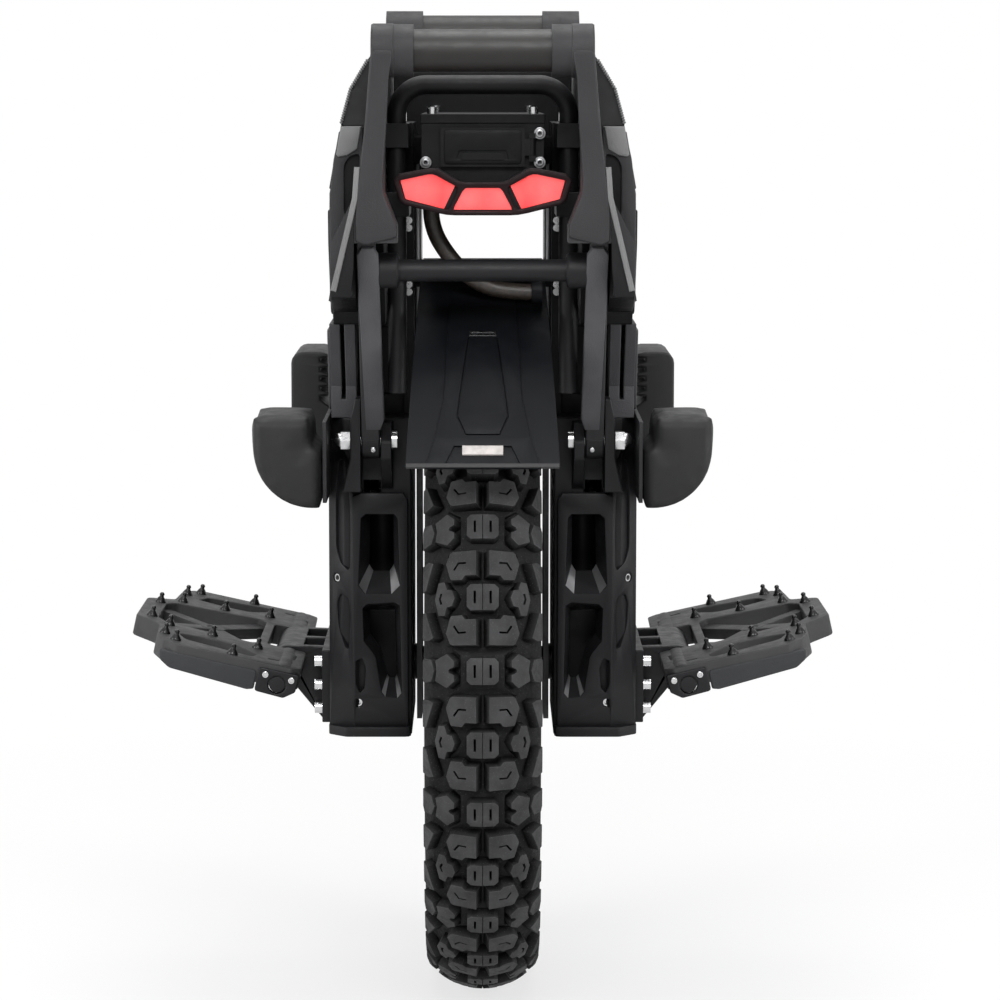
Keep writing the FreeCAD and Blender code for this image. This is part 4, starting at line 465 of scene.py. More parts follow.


# Tyre rubber turns lighter where the stored levels are high: worn block tops, a painted highlight on the
# block rims, and painted shade left dark in the grooves.
RUBBER = Surface("tyre_rubber", (0.0018, 0.0018, 0.0019), 0.66, 0.0, 0.1).worn_and_lit("wear_and_painted_light", (0.072, 0.072, 0.074))
RUBBER.mottle(60.0, 0.4, (0.006, 0.006, 0.006)).flecks(1500.0, (0.16, 0.16, 0.16), 0.68, 0.74, 0.4)
RUBBER = RUBBER.gloss(300.0, 0.09).grain(1900.0, 0.5).material
BLACK_COAT = painted("black_coat", (0.0085, 0.0085, 0.0095), 0.46, 0.2, 2600.0, 0.25, (0.012, 0.012, 0.0135))
GREY_COAT = painted("grey_coat", (0.022, 0.022, 0.0235), 0.52, 0.22, 1500.0, 0.5, (0.031, 0.031, 0.033))
PEDAL_COAT = painted("pedal_coat", (0.03, 0.03, 0.031), 0.55, 0.25, 1800.0, 0.45, (0.042, 0.042, 0.043))
SHELL = painted("shell_plastic", (0.005, 0.005, 0.0056), 0.5, 0.16, 3000.0, 0.3, (0.0075, 0.0075, 0.0084))
MUD = painted("mudguard_plastic", (0.0034, 0.0038, 0.0049), 0.44, 0.12, 3200.0, 0.2, (0.005, 0.0056, 0.007))
GRIP = painted("bar_coat", (0.0105, 0.0098, 0.0093), 0.44, 0.34, 2800.0, 0.25, (0.016, 0.0148, 0.0138))
PAD = painted("pad_foam", (0.0115, 0.0115, 0.012), 0.55, 0.25, 2200.0, 0.3, (0.016, 0.016, 0.0165))
DARK_STEEL = painted("dark_steel", (0.05, 0.05, 0.052), 0.4, 0.5, 1200.0, 0.15, (0.09, 0.09, 0.09), 0.9)
STEEL = painted("polished_steel", (0.62, 0.62, 0.63), 0.24, 0.5, 900.0, 0.06, (0.5, 0.5, 0.5), 1.0)
BARE = painted("bare_alloy", (0.42, 0.42, 0.43), 0.38, 0.5, 1100.0, 0.2, (0.3, 0.3, 0.3), 0.9)
SPIKE_STEEL = painted("spike_steel", (0.014, 0.014, 0.015), 0.3, 0.5, 1300.0, 0.15, (0.02, 0.02, 0.021), 0.5)
BUMPER_RUBBER = painted("bumper_rubber", (0.028, 0.029, 0.031), 0.6, 0.2, 1500.0, 0.5, (0.036, 0.037, 0.039))
SIDE_GREY = painted("side_grey", (0.056, 0.056, 0.06), 0.6, 0.2, 900.0, 0.8, (0.085, 0.085, 0.09))
# Light grey for the shell facets, ridges and rim beads: painted highlight where light catches these edges of
# the dark shells.
HIGHLIGHT_GREY = painted("painted_highlight_grey", (0.13, 0.13, 0.132), 0.5, 0.25, 1200.0, 0.5, (0.17, 0.17, 0.172))
# Tail light frame: its dark red is painted light, the lenses' red glow laid on a dark frame.
RED_GLOW_FRAME = painted("lamp_frame_painted_glow", (0.0075, 0.0022, 0.003), 0.55, 0.16, 1500.0, 0.2, (0.011, 0.003, 0.004))
COPPER = painted("copper_wire", (0.55, 0.25, 0.13), 0.35, 0.5, 1500.0, 0.4, (0.6, 0.32, 0.18), 1.0)
BATTERY = painted("battery_wrap", (0.02, 0.05, 0.16), 0.4, 0.5, 700.0, 0.2, (0.03, 0.07, 0.2))
BOARD = painted("board_mask", (0.01, 0.07, 0.03), 0.4, 0.5, 700.0, 0.3, (0.02, 0.1, 0.05))
SCREEN = painted("screen_glass", (0.006, 0.006, 0.008), 0.12, 0.6, 400.0, 0.02, (0.008, 0.008, 0.011))
RED_LENS = Surface("red_lens", (0.85, 0.05, 0.055), 0.25).mottle(90.0, 0.5, (0.9, 0.1, 0.09))
RED_LENS = RED_LENS.grain(420.0, 0.12).glow((1.0, 0.05, 0.05), 0.55, LAMP_SPOTS, (1.0, 0.2, 0.2)).material
CLEAR = Surface("clear_lens", (0.6, 0.62, 0.65), 0.08).mottle(50.0, 0.3, (0.5, 0.52, 0.56))
CLEAR = CLEAR.grain(300.0, 0.1).material
REFLECTOR = Surface("reflector", (0.5, 0.47, 0.45), 0.2).mottle(160.0, 0.6, (0.3, 0.28, 0.27))
REFLECTOR = REFLECTOR.grain(700.0, 0.6).material
CABLE = Surface("cable_sleeve", (0.02, 0.016, 0.013), 0.38, 0.0, 0.55).mottle(300.0, 0.6, (0.05, 0.038, 0.03))
CABLE = CABLE.grain(1100.0, 0.8).material


# CAD nodes that are kept: their materials and, in millimetres, their rounded edges

def hands(*names):
    """The names of left and right nodes."""
    return [name + "_" + hand for name in names for side, hand in HANDS]


SHOWN = [
    (BLACK_COAT, 1.2, hands("leg")),
    (BLACK_COAT, 0.8, hands("pedal_hanger") + ["axle_blocks"]),
    (BLACK_COAT, 0.6, ["guide_columns", "trolley_guides"]),
    (BLACK_COAT, None, ["rim", "motor_covers", "cross_tube", "trolley_handle", "shock_bodies"]),
    (GREY_COAT, 1.2, hands("rear_pillar", "front_pillar")),
    (GREY_COAT, 0.8, ["rear_stays"]),
    (GREY_COAT, 0.5, ["pad_brackets"]),
    (SIDE_GREY, 0.8, ["side_frames"]),
    (SHELL, 1.5, hands("side_shell")),
    (SHELL, 1.2, ["dash_housing"]),
    (SHELL, 0.8, ["controller_box", "controller_lid"]),
    (SHELL, 0.7, ["tail_light_housing"]),
    (SHELL, 0.6, ["charge_port_door"]),
    (SHELL, None, ["upper_shells", "power_button"]),
    (MUD, 0.5, ["mudguard"]),
    (GRIP, None, ["rear_handle_bar", "front_handle_bar"]),
    (DARK_STEEL, None, ["slider_plates", "axle", "wheel_bearings", "magnets", "stator",
                        "motor_cover_screws"]),
    (STEEL, None, ["stay_bolts", "hanger_bolts", "casing_screws", "shock_rods", "pedal_pins", "axle_nuts"]),
    (COPPER, None, ["windings"]),
    (BATTERY, None, ["batteries"]),
    (BOARD, None, ["controller_board"]),
    (RED_LENS, 0.5, ["tail_light_lenses"]),
    (CLEAR, None, ["headlight_lens"]),
    (SCREEN, None, ["display_window"]),
    (REFLECTOR, None, ["mudguard_reflector"]),
]
EDGE_ANGLE = 32.0
WELD_REACH = 0.00002


def coat(obj, material):
    """A piece's one material."""
    obj.data.materials.clear()
    obj.data.materials.append(material)


def finish_with(obj, material):
    """A piece given its one material."""
    coat(obj, material)
    return obj


def soften(obj, width):
    """Rounded edges on a CAD node, whose own mesh stays as it is."""
    weld = obj.modifiers.new("weld", "WELD")
    weld.merge_threshold = WELD_REACH
    bevel = obj.modifiers.new("bevel", "BEVEL")
    bevel.width = width * MM
    bevel.segments = 2
    bevel.limit_method = "ANGLE"
    bevel.angle_limit = math.radians(EDGE_ANGLE)
    bevel.use_clamp_overlap = True
    normals = obj.modifiers.new("normals", "WEIGHTED_NORMAL")
    normals.keep_sharp = True


for material, width, names in SHOWN:
    for name in names:
        coat(nodes[name], material)
        if width:
            soften(nodes[name], width)

wheel_tyre = finish_with(tyre(), RUBBER)
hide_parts("tyre")
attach(wheel_tyre, "wheel")


# Forms that are put together into one piece

class Forms:
    """Points, in millimetres, and faces of several forms that make one piece."""

    def __init__(self):
        self.verts = []
        self.faces = []
        self.count = 0

    def add(self, points, faces):
        """More points and their faces."""
        points = np.asarray(points, float)
        self.faces.extend([[self.count + index for index in face] for face in faces])
        self.verts.append(points)
        self.count += len(points)
        return self

    def laid(self, bend, outline, holes, height, edge, steps=1, cuts=(), rise=0.0):
        """A flat form with rounded rims, raised and moved on to a surface."""
        points, faces = flat_block(outline, holes, height, edge, steps, cuts)
        points[:, 2] += rise
        return self.add(bend(points), faces)

    def prism(self, outline, place, along, up, height, edge, holes=(), steps=1):
        """A flat form with rounded rims whose top lies on a plane."""
        points, faces = flat_block(outline, holes, height, edge, steps)
        along = np.array(Vector(along).normalized())
        up = np.array(Vector(up).normalized())
        out = np.cross(along, up)
        flat = points[:, :1] * along + points[:, 1:2] * up + points[:, 2:] * out
        return self.add(np.array(place, float) + flat, faces)

    def behind(self, outline, y, height, edge, holes=(), steps=1):
        """A flat form whose top faces backwards."""
        return self.prism(outline, (0.0, y, 0.0), *BACK, height, edge, holes, steps)

    def beside(self, outline, x, height, edge, holes=()):
        """A flat form whose top faces to the right."""
        return self.prism(outline, (x, 0.0, 0.0), *SIDE, height, edge, holes)

    def turned(self, place, axis, section, count=24, hexed=()):
        """A section of radii and heights turned about an axis, with the numbered rings six-sided."""
        axis = Vector(axis).normalized()
        side = axis.orthogonal().normalized()
        other = axis.cross(side)
        axis, side, other = np.array(axis), np.array(side), np.array(other)
        verts = []
        for ring, (radius, height) in enumerate(section):
            for step in range(count):
                angle = 2 * math.pi * step / count
                size = radius
                if ring in hexed:
                    size = radius / math.cos((angle + math.pi / 6) % (math.pi / 3) - math.pi / 6)
                out = side * math.cos(angle) + other * math.sin(angle)
                verts.append(np.array(place) + axis * height + out * size)
        return self.add(verts, barrel_faces(len(section), count))

    def screw(self, place, axis, radius, height):
        """A button head screw with a six-sided socket."""
        socket = radius * 0.5
        section = [(radius, 0.0), (radius, height * 0.55), (radius * 0.9, height * 0.85),
                   (radius * 0.72, height), (socket * 1.08, height), (socket, height * 0.92),
                   (socket, height * 0.35)]
        return self.turned(place, axis, section, 24, (4, 5, 6))

    def signed(self, signs):
        """The forms on another side of the machine."""
        self.verts = [points * np.array(signs, float) for points in self.verts]
        return self

    def copied(self, mirrors):
        """The forms and their mirror images."""
        points = np.vstack(self.verts)
        faces = [list(face) for face in self.faces]
        for signs in mirrors:
            self.add(points * np.array(signs, float), faces)
        return self

    def both_sides(self):
        """The forms on the right and the left."""
        return self.copied(MIRRORS[:1])

    def four_ways(self):
        """The forms on both sides, behind and in front."""
        return self.copied(MIRRORS)

    def made(self, name, material, slot_name, body="frame", smooth=SMOOTH):
        """The piece, riding on its body."""
        obj = mesh_object(name, np.vstack(self.verts), self.faces, smooth)
        finish_with(obj, material)
        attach(obj, body)
        return obj


def spot(bend, *place):
    """One point moved on to a surface."""
    return bend(np.array([place], float))[0]


# Motor cable, in metres

CABLE_ROUTE = [(-0.038, -0.118, 0.612), (-0.038, -0.118, 0.598), (-0.025, -0.119, 0.576),
               (-0.007, -0.119, 0.558), (0.016, -0.118, 0.550), (0.044, -0.118, 0.550)]
CABLE_DIAMETER = 0.012


def cable():
    """The motor cable from the controller box to the mudguard's clip."""
    curve = bpy.data.curves.new("motor_cable_sleeve", "CURVE")
    curve.dimensions = "3D"
    curve.bevel_depth = CABLE_DIAMETER / 2
    curve.bevel_resolution = 6
    curve.use_fill_caps = True
    curve.resolution_u = 24
    spline = curve.splines.new("NURBS")
    spline.points.add(len(CABLE_ROUTE) - 1)
    for point, place in zip(spline.points, CABLE_ROUTE):
        point.co = (*place, 1.0)
    spline.order_u = 3
    spline.use_endpoint_u = True
    obj = new_object("motor_cable_sleeve", curve)
    finish_with(obj, CABLE)
    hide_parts("motor_cable")
    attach(obj, "frame")


cable()


# Leg pads, in millimetres

PAD_INNER = 118.0
PAD_OUTER = 170.0
PAD_LOW = 391.0
PAD_HIGH = 461.0
PAD_TURN = 45.0
PAD_STEPS = 12
PAD_SWELL = 1.6
PAD_VOXEL = 3.0
PAD_PRESSURE = 4.0
PAD_FRAMES = 20
PAD_MIDDLE = (146.0, 426.0)
HIGH_MIDDLE = 148.0
INNER_MIDDLE = 415.0
NOTCH_WIDE = 8.0
NOTCH_FOOT = 437.0
NOTCH_ROUND = 5.0
NOTCH_CUT = 1.5
CALF_STATIONS = [(-150, 0.84), (-149.4, 0.92), (-147.6, 0.965), (-144.5, 0.99), (-140, 1), (-120, 1),
                 (-90, 1), (-68, 1), (-63, 0.98), (-60, 0.92)]
SHIN_FRONT = 150.0
SHIN_LONG = 90.0
SHIN_TOP = 492.0
SHIN_OUT = 152.0
SHIN_LOW_ROUND = 12.0
SHIN_HIGH_ROUND = 9.0
SHIN_EDGE = 2.0
SHIN_STEP = 446.0
TOOTH_FOOT = PAD_INNER + 11.0
TOOTH_TIPS = (PAD_INNER + 4.0, PAD_INNER + 3.4)
TOOTH_PITCH = 7.6
TOOTH_COUNT = 5


def calf_outline():
    """A right calf pad seen from behind, with a notch for its bracket."""
    inner = PAD_INNER + PAD_SWELL
    notch = inner + NOTCH_WIDE
    low = PAD_LOW + PAD_SWELL
    high = PAD_HIGH - PAD_SWELL
    middle = PAD_OUTER - PAD_TURN
    points = [(inner, low), ((inner + middle) / 2, low)]
    points += quarter(middle, PAD_LOW + PAD_TURN, PAD_TURN - PAD_SWELL, PAD_STEPS)
    points += [(PAD_OUTER - PAD_SWELL, high), (HIGH_MIDDLE, high), (notch, high),
               (notch, NOTCH_FOOT + NOTCH_ROUND), (notch - NOTCH_CUT, NOTCH_FOOT + NOTCH_CUT),
               (notch - NOTCH_ROUND, NOTCH_FOOT), (inner, NOTCH_FOOT), (inner, INNER_MIDDLE)]
    return np.array(points)


def swell(obj):
    """A foam form blown up a little by a cloth simulation, then smoothed once."""
    bpy.context.view_layer.objects.active = obj
    remesh = obj.modifiers.new("remesh", "REMESH")
    remesh.mode = "VOXEL"
    remesh.voxel_size = PAD_VOXEL * MM
    bpy.ops.object.modifier_apply(modifier=remesh.name)
    start = np.array([vert.co[:] for vert in obj.data.vertices])
    cloth = obj.modifiers.new("cloth", "CLOTH")
    cloth.settings.use_pressure = True
    cloth.settings.uniform_pressure_force = PAD_PRESSURE
    cloth.settings.effector_weights.gravity = 0.0
    for step in range(1, PAD_FRAMES + 1):
        bpy.context.scene.frame_set(step)
    shaped = obj.evaluated_get(bpy.context.evaluated_depsgraph_get())
    end = np.array([vert.co[:] for vert in shaped.data.vertices])
    obj.modifiers.remove(cloth)
    bpy.context.scene.frame_set(1)
    move = end - start
    size = np.linalg.norm(move, axis=1, keepdims=True)
    move *= np.minimum(1.0, PAD_SWELL * MM / np.maximum(size, 1e-9))
    obj.data.vertices.foreach_set("co", (start + move).ravel())
    obj.data.update()
    smooth = obj.modifiers.new("smooth", "SUBSURF")
    smooth.levels = 1
    smooth.render_levels = 1
    shade(obj, 180.0)


def calf_pad(side, name):
    """A calf pad behind a leg."""
    outline = calf_outline()
    middle = np.array(PAD_MIDDLE)
    verts = []
    for y, share in CALF_STATIONS:
        verts.extend((side * x, y, z) for x, z in middle + (outline - middle) * share)
    obj = mesh_object(name + "_foam", verts, barrel_faces(len(CALF_STATIONS), len(outline)))
    swell(obj)
    finish_with(obj, PAD)
    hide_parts(name)
    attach(obj, "frame")


def shin_outline():
    """A right shin pad seen from behind, with saw teeth on its inner upper edge."""
    points = [(PAD_INNER, PAD_LOW)]
    points += quarter(SHIN_OUT - SHIN_LOW_ROUND, PAD_LOW + SHIN_LOW_ROUND, SHIN_LOW_ROUND, 4)
    points += quarter(SHIN_OUT - SHIN_HIGH_ROUND, SHIN_TOP - SHIN_HIGH_ROUND, SHIN_HIGH_ROUND, 4, True)
    for tooth in range(TOOTH_COUNT):
        height = SHIN_TOP - tooth * TOOTH_PITCH
        points += [(TOOTH_FOOT, height), (TOOTH_TIPS[0], height - 2.0), (TOOTH_TIPS[1], height - 4.4),
                   (TOOTH_FOOT, height - 5.4)]
    points += [(TOOTH_FOOT, SHIN_TOP - TOOTH_COUNT * TOOTH_PITCH), (PAD_INNER, SHIN_STEP)]
    return points


def shin_pad(side, name):
    """A shin pad in front of a leg."""
    forms = Forms().behind(shin_outline(), SHIN_FRONT - SHIN_LONG, SHIN_LONG, SHIN_EDGE, (), 3)
    obj = forms.signed((side, 1, 1)).made(name + "_foam", PAD, "pad_rubber", "frame", 40.0)
    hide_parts(name)


for side, hand in HANDS:
    calf_pad(side, "calf_pad_" + hand)
    shin_pad(side, "shin_pad_" + hand)


# Mudguard panels, in millimetres: half widths and places along the guard from its top

GUARD_Z = 304.0
GUARD_R = 265.0
GUARD_CUTS = np.arange(104.0, 282.0, 12.0)
PANEL_RISE = 1.8
PANEL_DEEP = 2.8
PANEL_EDGE = 0.7
PANEL = mirrored([(22.5, 96), (24, 125), (28.4, 226), (34, 258), (41.5, 283)])
COFFIN = mirrored([(10.5, 166.5), (18.4, 242), (12.4, 257)])
COFFIN_GROOVE = 0.9
COFFIN_EDGE = 0.3
RECESS = mirrored([(20.3, 265.8), (26.6, 280)])
LIP = mirrored([(54.4, 279.4), (54.4, 282.6)])
LIP_RISE = 0.7
SLOT_FRAME = mirrored([(9.6, 160.4), (9.6, 165.2)])
SLOT_HOLE = mirrored([(8.2, 161.9), (8.2, 163.7)])
SLOT_RISE = 0.35


def on_guard(points):
    """Flat points moved on to the mudguard's back."""
    angle = points[:, 1] / GUARD_R
    reach = GUARD_R + PANEL_RISE + points[:, 2]
    return np.column_stack([points[:, 0], -reach * np.sin(angle), GUARD_Z + reach * np.cos(angle)])


def guard_panels():
    """The raised back of the mudguard with its engraved panel, its lip and the frame of its slot."""
    forms = Forms().laid(on_guard, PANEL, [COFFIN, RECESS], PANEL_DEEP, PANEL_EDGE, 1, GUARD_CUTS)
    forms.laid(on_guard, inset(COFFIN, COFFIN_GROOVE), [], PANEL_DEEP, COFFIN_EDGE, 1, GUARD_CUTS)
    forms.made("mudguard_panel", MUD, "shell_plastic", "frame", 25.0)
    # A strip in the lighter pedal grey along the guard's lower edge: painted highlight on the edge of the
    # dark mudguard.
    lip = Forms().laid(on_guard, LIP, [], 4.0, 0.9, rise=LIP_RISE)
    lip.made("mudguard_lip_highlight", PEDAL_COAT, "shell_plastic")
    rim = Forms().laid(on_guard, SLOT_FRAME, [SLOT_HOLE], 2.0, 0.2, rise=SLOT_RISE)
    rim.made("mudguard_slot", STEEL, "polished_steel")


guard_panels()


# Leg castings, in millimetres: loops of a right leg as distances from the middle and heights

LEG_BACK = 88.5
LEG_WAIST = 330.0
LEG_TAPER = 12.0 / 121.0
PLATE_DEEP = 9.0
FUNNEL_DEEP = 16.0
CORNER_NEAR = (98.0, 88.5)
CORNER_FAR = (117.0, 69.5)
CORNER_WIDE = math.hypot(CORNER_FAR[0] - CORNER_NEAR[0], CORNER_NEAR[1] - CORNER_FAR[1])
CORNER_DEEP = 6.0
BACK_PLATE = [(56.5, 216), (98.4, 216), (98.4, 394), (92, 397), (60, 397), (56.5, 392)]
UPPER_MOUTH = [(69, 320.5), (88.5, 320.5), (93.5, 327), (91.5, 378), (88, 381), (67, 381), (64.5, 378),
               (62.6, 327)]
UPPER_THROAT = [(70.5, 336), (83, 336), (86, 341), (85, 381), (83.5, 383), (69.5, 383), (68, 381),
                (67.5, 341)]
LOWER_MOUTH = [(61.8, 243), (65, 239.2), (74, 240.4), (76.8, 244), (80.9, 270.6), (83.4, 275.2),
               (89.9, 283.6), (90.6, 309), (87.4, 312), (67.2, 313.5), (63, 311)]
LOWER_THROAT = [(65.6, 255), (67, 252.5), (71.5, 253), (73, 255), (77, 273), (79.5, 278.5), (85.5, 287),
                (86.2, 306), (84.5, 308), (69.5, 309), (66.8, 307.5)]
WINDOWS = [(UPPER_MOUTH, UPPER_THROAT, (1, 7)), (LOWER_MOUTH, LOWER_THROAT, (0, 2))]
PLATE_RECESS = rounded([(90, 247), (93.4, 243), (96.2, 250), (96.2, 268), (91.4, 270.5), (88.6, 262)])
CORNER_PLATE = [(0, 216), (CORNER_WIDE, 216), (CORNER_WIDE, 436), (13, 436), (0, 396)]
TEARDROP = rounded([(8, 419), (11, 422.5), (14.5, 421), (17.5, 410), (18.6, 392), (18.6, 354), (14, 343),
                    (5.5, 338), (3.4, 341), (2.8, 366), (3.6, 394)], 0.3)
CORNER_RECESS = rounded([(5.5, 277), (9.5, 278), (16.5, 294), (18, 312), (14.5, 319), (5, 317),
                         (3.2, 300)], 0.3)
EYE_PLACE = (18.5, 331.0)
BUSH_PLACE = (94.6, 235.0)
EYE_SIZE = 3.4
EYE = [(3.3, 0), (3.3, 2.4), (2.9, 2.8), (2, 2.8), (1.7, 1)]
BUSH = [(3.3, 0), (3.3, 3), (2.9, 3.4), (1.9, 3.4), (1.6, 1)]
FLANGE = rounded(both_ends([(117.5, 70), (104, 82), (54.5, 82)]), 0.1)
FLANGE_TOP = 217.0
FLANGE_DEEP = 7.6


def taper(height):
    """How far the leg's back lies forward at a height."""
    return np.maximum(LEG_WAIST - height, 0.0) * LEG_TAPER


def on_back(points):
    """Flat points moved on to the back of a right leg."""
    return np.column_stack([points[:, 0], taper(points[:, 1]) - LEG_BACK - points[:, 2], points[:, 1]])


def on_corner(points):
    """Flat points moved on to the slanting outer corner of a right leg."""
    share = points[:, 0] / CORNER_WIDE
    near_y = taper(points[:, 1]) - CORNER_NEAR[1]
    x = CORNER_NEAR[0] + (CORNER_FAR[0] - CORNER_NEAR[0]) * share + points[:, 2] * math.sqrt(0.5)
    y = near_y + (-CORNER_FAR[1] - near_y) * share - points[:, 2] * math.sqrt(0.5)
    return np.column_stack([x, y, points[:, 1]])


def leg_casting():
    """Back of a right leg with its windows and slanting corner, and the numbers of its bright faces."""
    forms = Forms()
    bright = []
    for mouth, throat, edges in WINDOWS:
        bright += [len(forms.faces) + number for number in edges]
        points = [(x, z, 0.0) for x, z in mouth] + [(x, z, -FUNNEL_DEEP) for x, z in throat]
        forms.add(on_back(np.array(points)), ring_faces(2, len(mouth)))
    holes = [UPPER_MOUTH, LOWER_MOUTH, PLATE_RECESS, circle(*BUSH_PLACE, EYE_SIZE)]
    forms.laid(on_back, BACK_PLATE, holes, PLATE_DEEP, 0.9, 1, [LEG_WAIST])
    holes = [TEARDROP, CORNER_RECESS, circle(*EYE_PLACE, EYE_SIZE)]
    forms.laid(on_corner, CORNER_PLATE, holes, CORNER_DEEP, 0.8, 1, [LEG_WAIST])
    return forms, bright


def leg_dress():
    """Castings on both legs, behind and in front, with bare metal in the window corners."""
    forms, bright = leg_casting()
    each = len(forms.faces)
    obj = forms.four_ways().made("leg_castings", BLACK_COAT, "black_alloy", "frame", 30.0)
    obj.data.materials.append(BARE)
    for copy in range(4):
        for number in bright:
            obj.data.polygons[copy * each + number].material_index = 1
    eyes = Forms().turned(spot(on_corner, *EYE_PLACE, -4.0), (1, -1, 0), EYE, 20)
    eyes.turned(spot(on_back, *BUSH_PLACE, -7.0), (0, -1, 0), BUSH, 20)
    eyes.four_ways().made("leg_bushes", STEEL, "polished_steel")
    foot = Forms().prism(FLANGE, (0.0, 0.0, FLANGE_TOP), (1, 0, 0), (0, 1, 0), FLANGE_DEEP, 0.8)
    foot.both_sides().made("leg_flanges", BLACK_COAT, "black_alloy")


leg_dress()


# Pedals, in millimetres: reach from the hinge, place along the pedal and height over the hinge

HINGE_X = 150.0
HINGE_Z = 262.0
PEDAL_LEAN = math.radians(12.5)
PEDAL_UP = (-math.sin(PEDAL_LEAN), 0.0, math.cos(PEDAL_LEAN))
DECK_TOP = 10.0
DECK_DEEP = 16.0
LUG_END = 47.5
BARREL_END = 127.0
PEDAL_END = 131.0
DECK_SIDE = [(18, 0), (18, LUG_END), (-13, LUG_END), (-13, 124), (-6, 130), (82, 130), (92, 122), (99, 104),
             (101, 62), (121.5, 44), (121.5, 0)]
DECK_OPENING = [(25, 48), (31, 55), (97, 46), (105, 34)]
RAIL_SLOT = [(84, 84), (77, 103), (26, 115), (22, 102), (42, 78), (67, 79)]
KEY_SLOTS = [[(13, 109), (-5, 108)], [(-4.4, 92), (-5, 72)]]
KEY_WIDE = 3.4
BRIDGE_ENDS = [(108, 36), (28, 54)]
BRIDGE_MIDDLE = (64.0, 0.0)
BRIDGE_WIDE = 13.0
BRIDGE_DEEP = 9.0
BRIDGE_TOP = 5.0
HUB_SIZES = (10.5, 4.5)
HUB_DEEP = 9.6
HUB_TOP = 5.4
SPIKES = [(110, 34), (94, 58), (84, 115), (60, 63), (24, 76), (40, 123), (94, 96)]
SPIKE_FORM = [(4.3, -0.6), (4.3, 0.8), (3.7, 1.8), (2.6, 3.6), (1.8, 4.4), (1.6, 5.6), (1.9, 6), (1.8, 7),
              (1, 7.9)]
BUMPER = rounded([(19, 3.5), (19, -11), (24, -12.5), (84, -9), (92, -4), (93.5, 3.5)], 0.2)
END_CAP = rounded([(-12.4, 6.4), (-12, -7), (-4, -13), (18.2, -12), (18.2, 6.4)], 0.12)
CAP_HOLE = circle(2.4, -4.0, 6.8, 20)
CAP_PLUG = circle(2.4, -4.0, 6.0, 20)
CAP_SCREWS = [(-7.4, 1.4), (12.4, 1.8)]


def on_pedal(points):
    """Points of the right pedal's own frame moved to its place."""
    u, y, n = points[:, 0], points[:, 1], points[:, 2]
    x = HINGE_X + u * math.cos(PEDAL_LEAN) - n * math.sin(PEDAL_LEAN)
    z = HINGE_Z + u * math.sin(PEDAL_LEAN) + n * math.cos(PEDAL_LEAN)
    return np.column_stack([x, y, z])


def end_of(way):
    """The move of flat points on to one end of the right pedal, facing outwards."""
    def on_end(points):
        return on_pedal(np.column_stack([points[:, 0], way * (PEDAL_END + points[:, 2]), points[:, 1]]))
    return on_end


def deck():
    """Rails, nose and hinge ends of a pedal, and the bridge between its rails."""
    forms = Forms()
    holes = [rounded(both_ends(DECK_OPENING), 0.18), rounded(RAIL_SLOT, 0.2), rounded(flip_y(RAIL_SLOT), 0.2)]
    for path in KEY_SLOTS:
        holes += [slot(path, KEY_WIDE), slot(flip_y(path), KEY_WIDE)]
    forms.laid(on_pedal, rounded(both_ends(DECK_SIDE), 0.16), holes, DECK_DEEP, 1.1, 2, rise=DECK_TOP)
    for end_u, end_y in BRIDGE_ENDS:
        for way in (1, -1):
            strip = slot([(end_u, way * end_y), BRIDGE_MIDDLE], BRIDGE_WIDE)
            forms.laid(on_pedal, strip, [], BRIDGE_DEEP, 0.9, rise=BRIDGE_TOP)
    rim, bore = [circle(*BRIDGE_MIDDLE, size, 8) for size in HUB_SIZES]
    forms.laid(on_pedal, rim, [bore], HUB_DEEP, 0.9, rise=HUB_TOP)
    span = BARREL_END - LUG_END
    for start in (LUG_END, -BARREL_END):
        form = [(9.5, 0.0), (11.0, 1.5), (11.0, span - 1.5), (9.5, span)]
        forms.turned((HINGE_X, start, HINGE_Z), (0, 1, 0), form, 28)
    return forms


def pedal(hand, side):
    """One pedal with its spikes, end caps and bumpers."""
    body = "pedal_" + hand
    spikes, rubber, caps, screws = Forms(), Forms(), Forms(), Forms()
    for u, y in SPIKES:
        for way in (1, -1):
            spikes.turned(spot(on_pedal, u, way * y, DECK_TOP), PEDAL_UP, SPIKE_FORM, 16, (6, 7))
    for way in (-1, 1):
        on_end = end_of(way)
        rubber.laid(on_end, BUMPER, [], 7.0, 1.4, 2)
        caps.laid(on_end, END_CAP, [CAP_HOLE], 6.0, 0.9, 2, rise=0.8)
        caps.laid(on_end, CAP_PLUG, [], 5.0, 0.5, 2, rise=0.3)
        for u, n in CAP_SCREWS:
            screws.screw(spot(on_pedal, u, way * (PEDAL_END + 0.5), n), (0, way, 0), 2.5, 1.5)
    for forms, name, material, slot_name in ((deck(), "deck", PEDAL_COAT, "black_alloy"),
                                             (spikes, "spikes", SPIKE_STEEL, "steel"),
                                             (rubber, "bumpers", BUMPER_RUBBER, "pad_rubber"),
                                             (caps, "end_caps", BLACK_COAT, "black_alloy"),
                                             (screws, "cap_screws", STEEL, "polished_steel")):
        forms.signed((side, 1, 1))
        forms.made(body + "_" + name, material, slot_name, body, 32.0)
    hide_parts(body)
    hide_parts("pedal_spikes_" + hand)


for side, hand in HANDS:
    pedal(hand, side)


# Shells, in millimetres: the plane of each form, its outline and its pockets

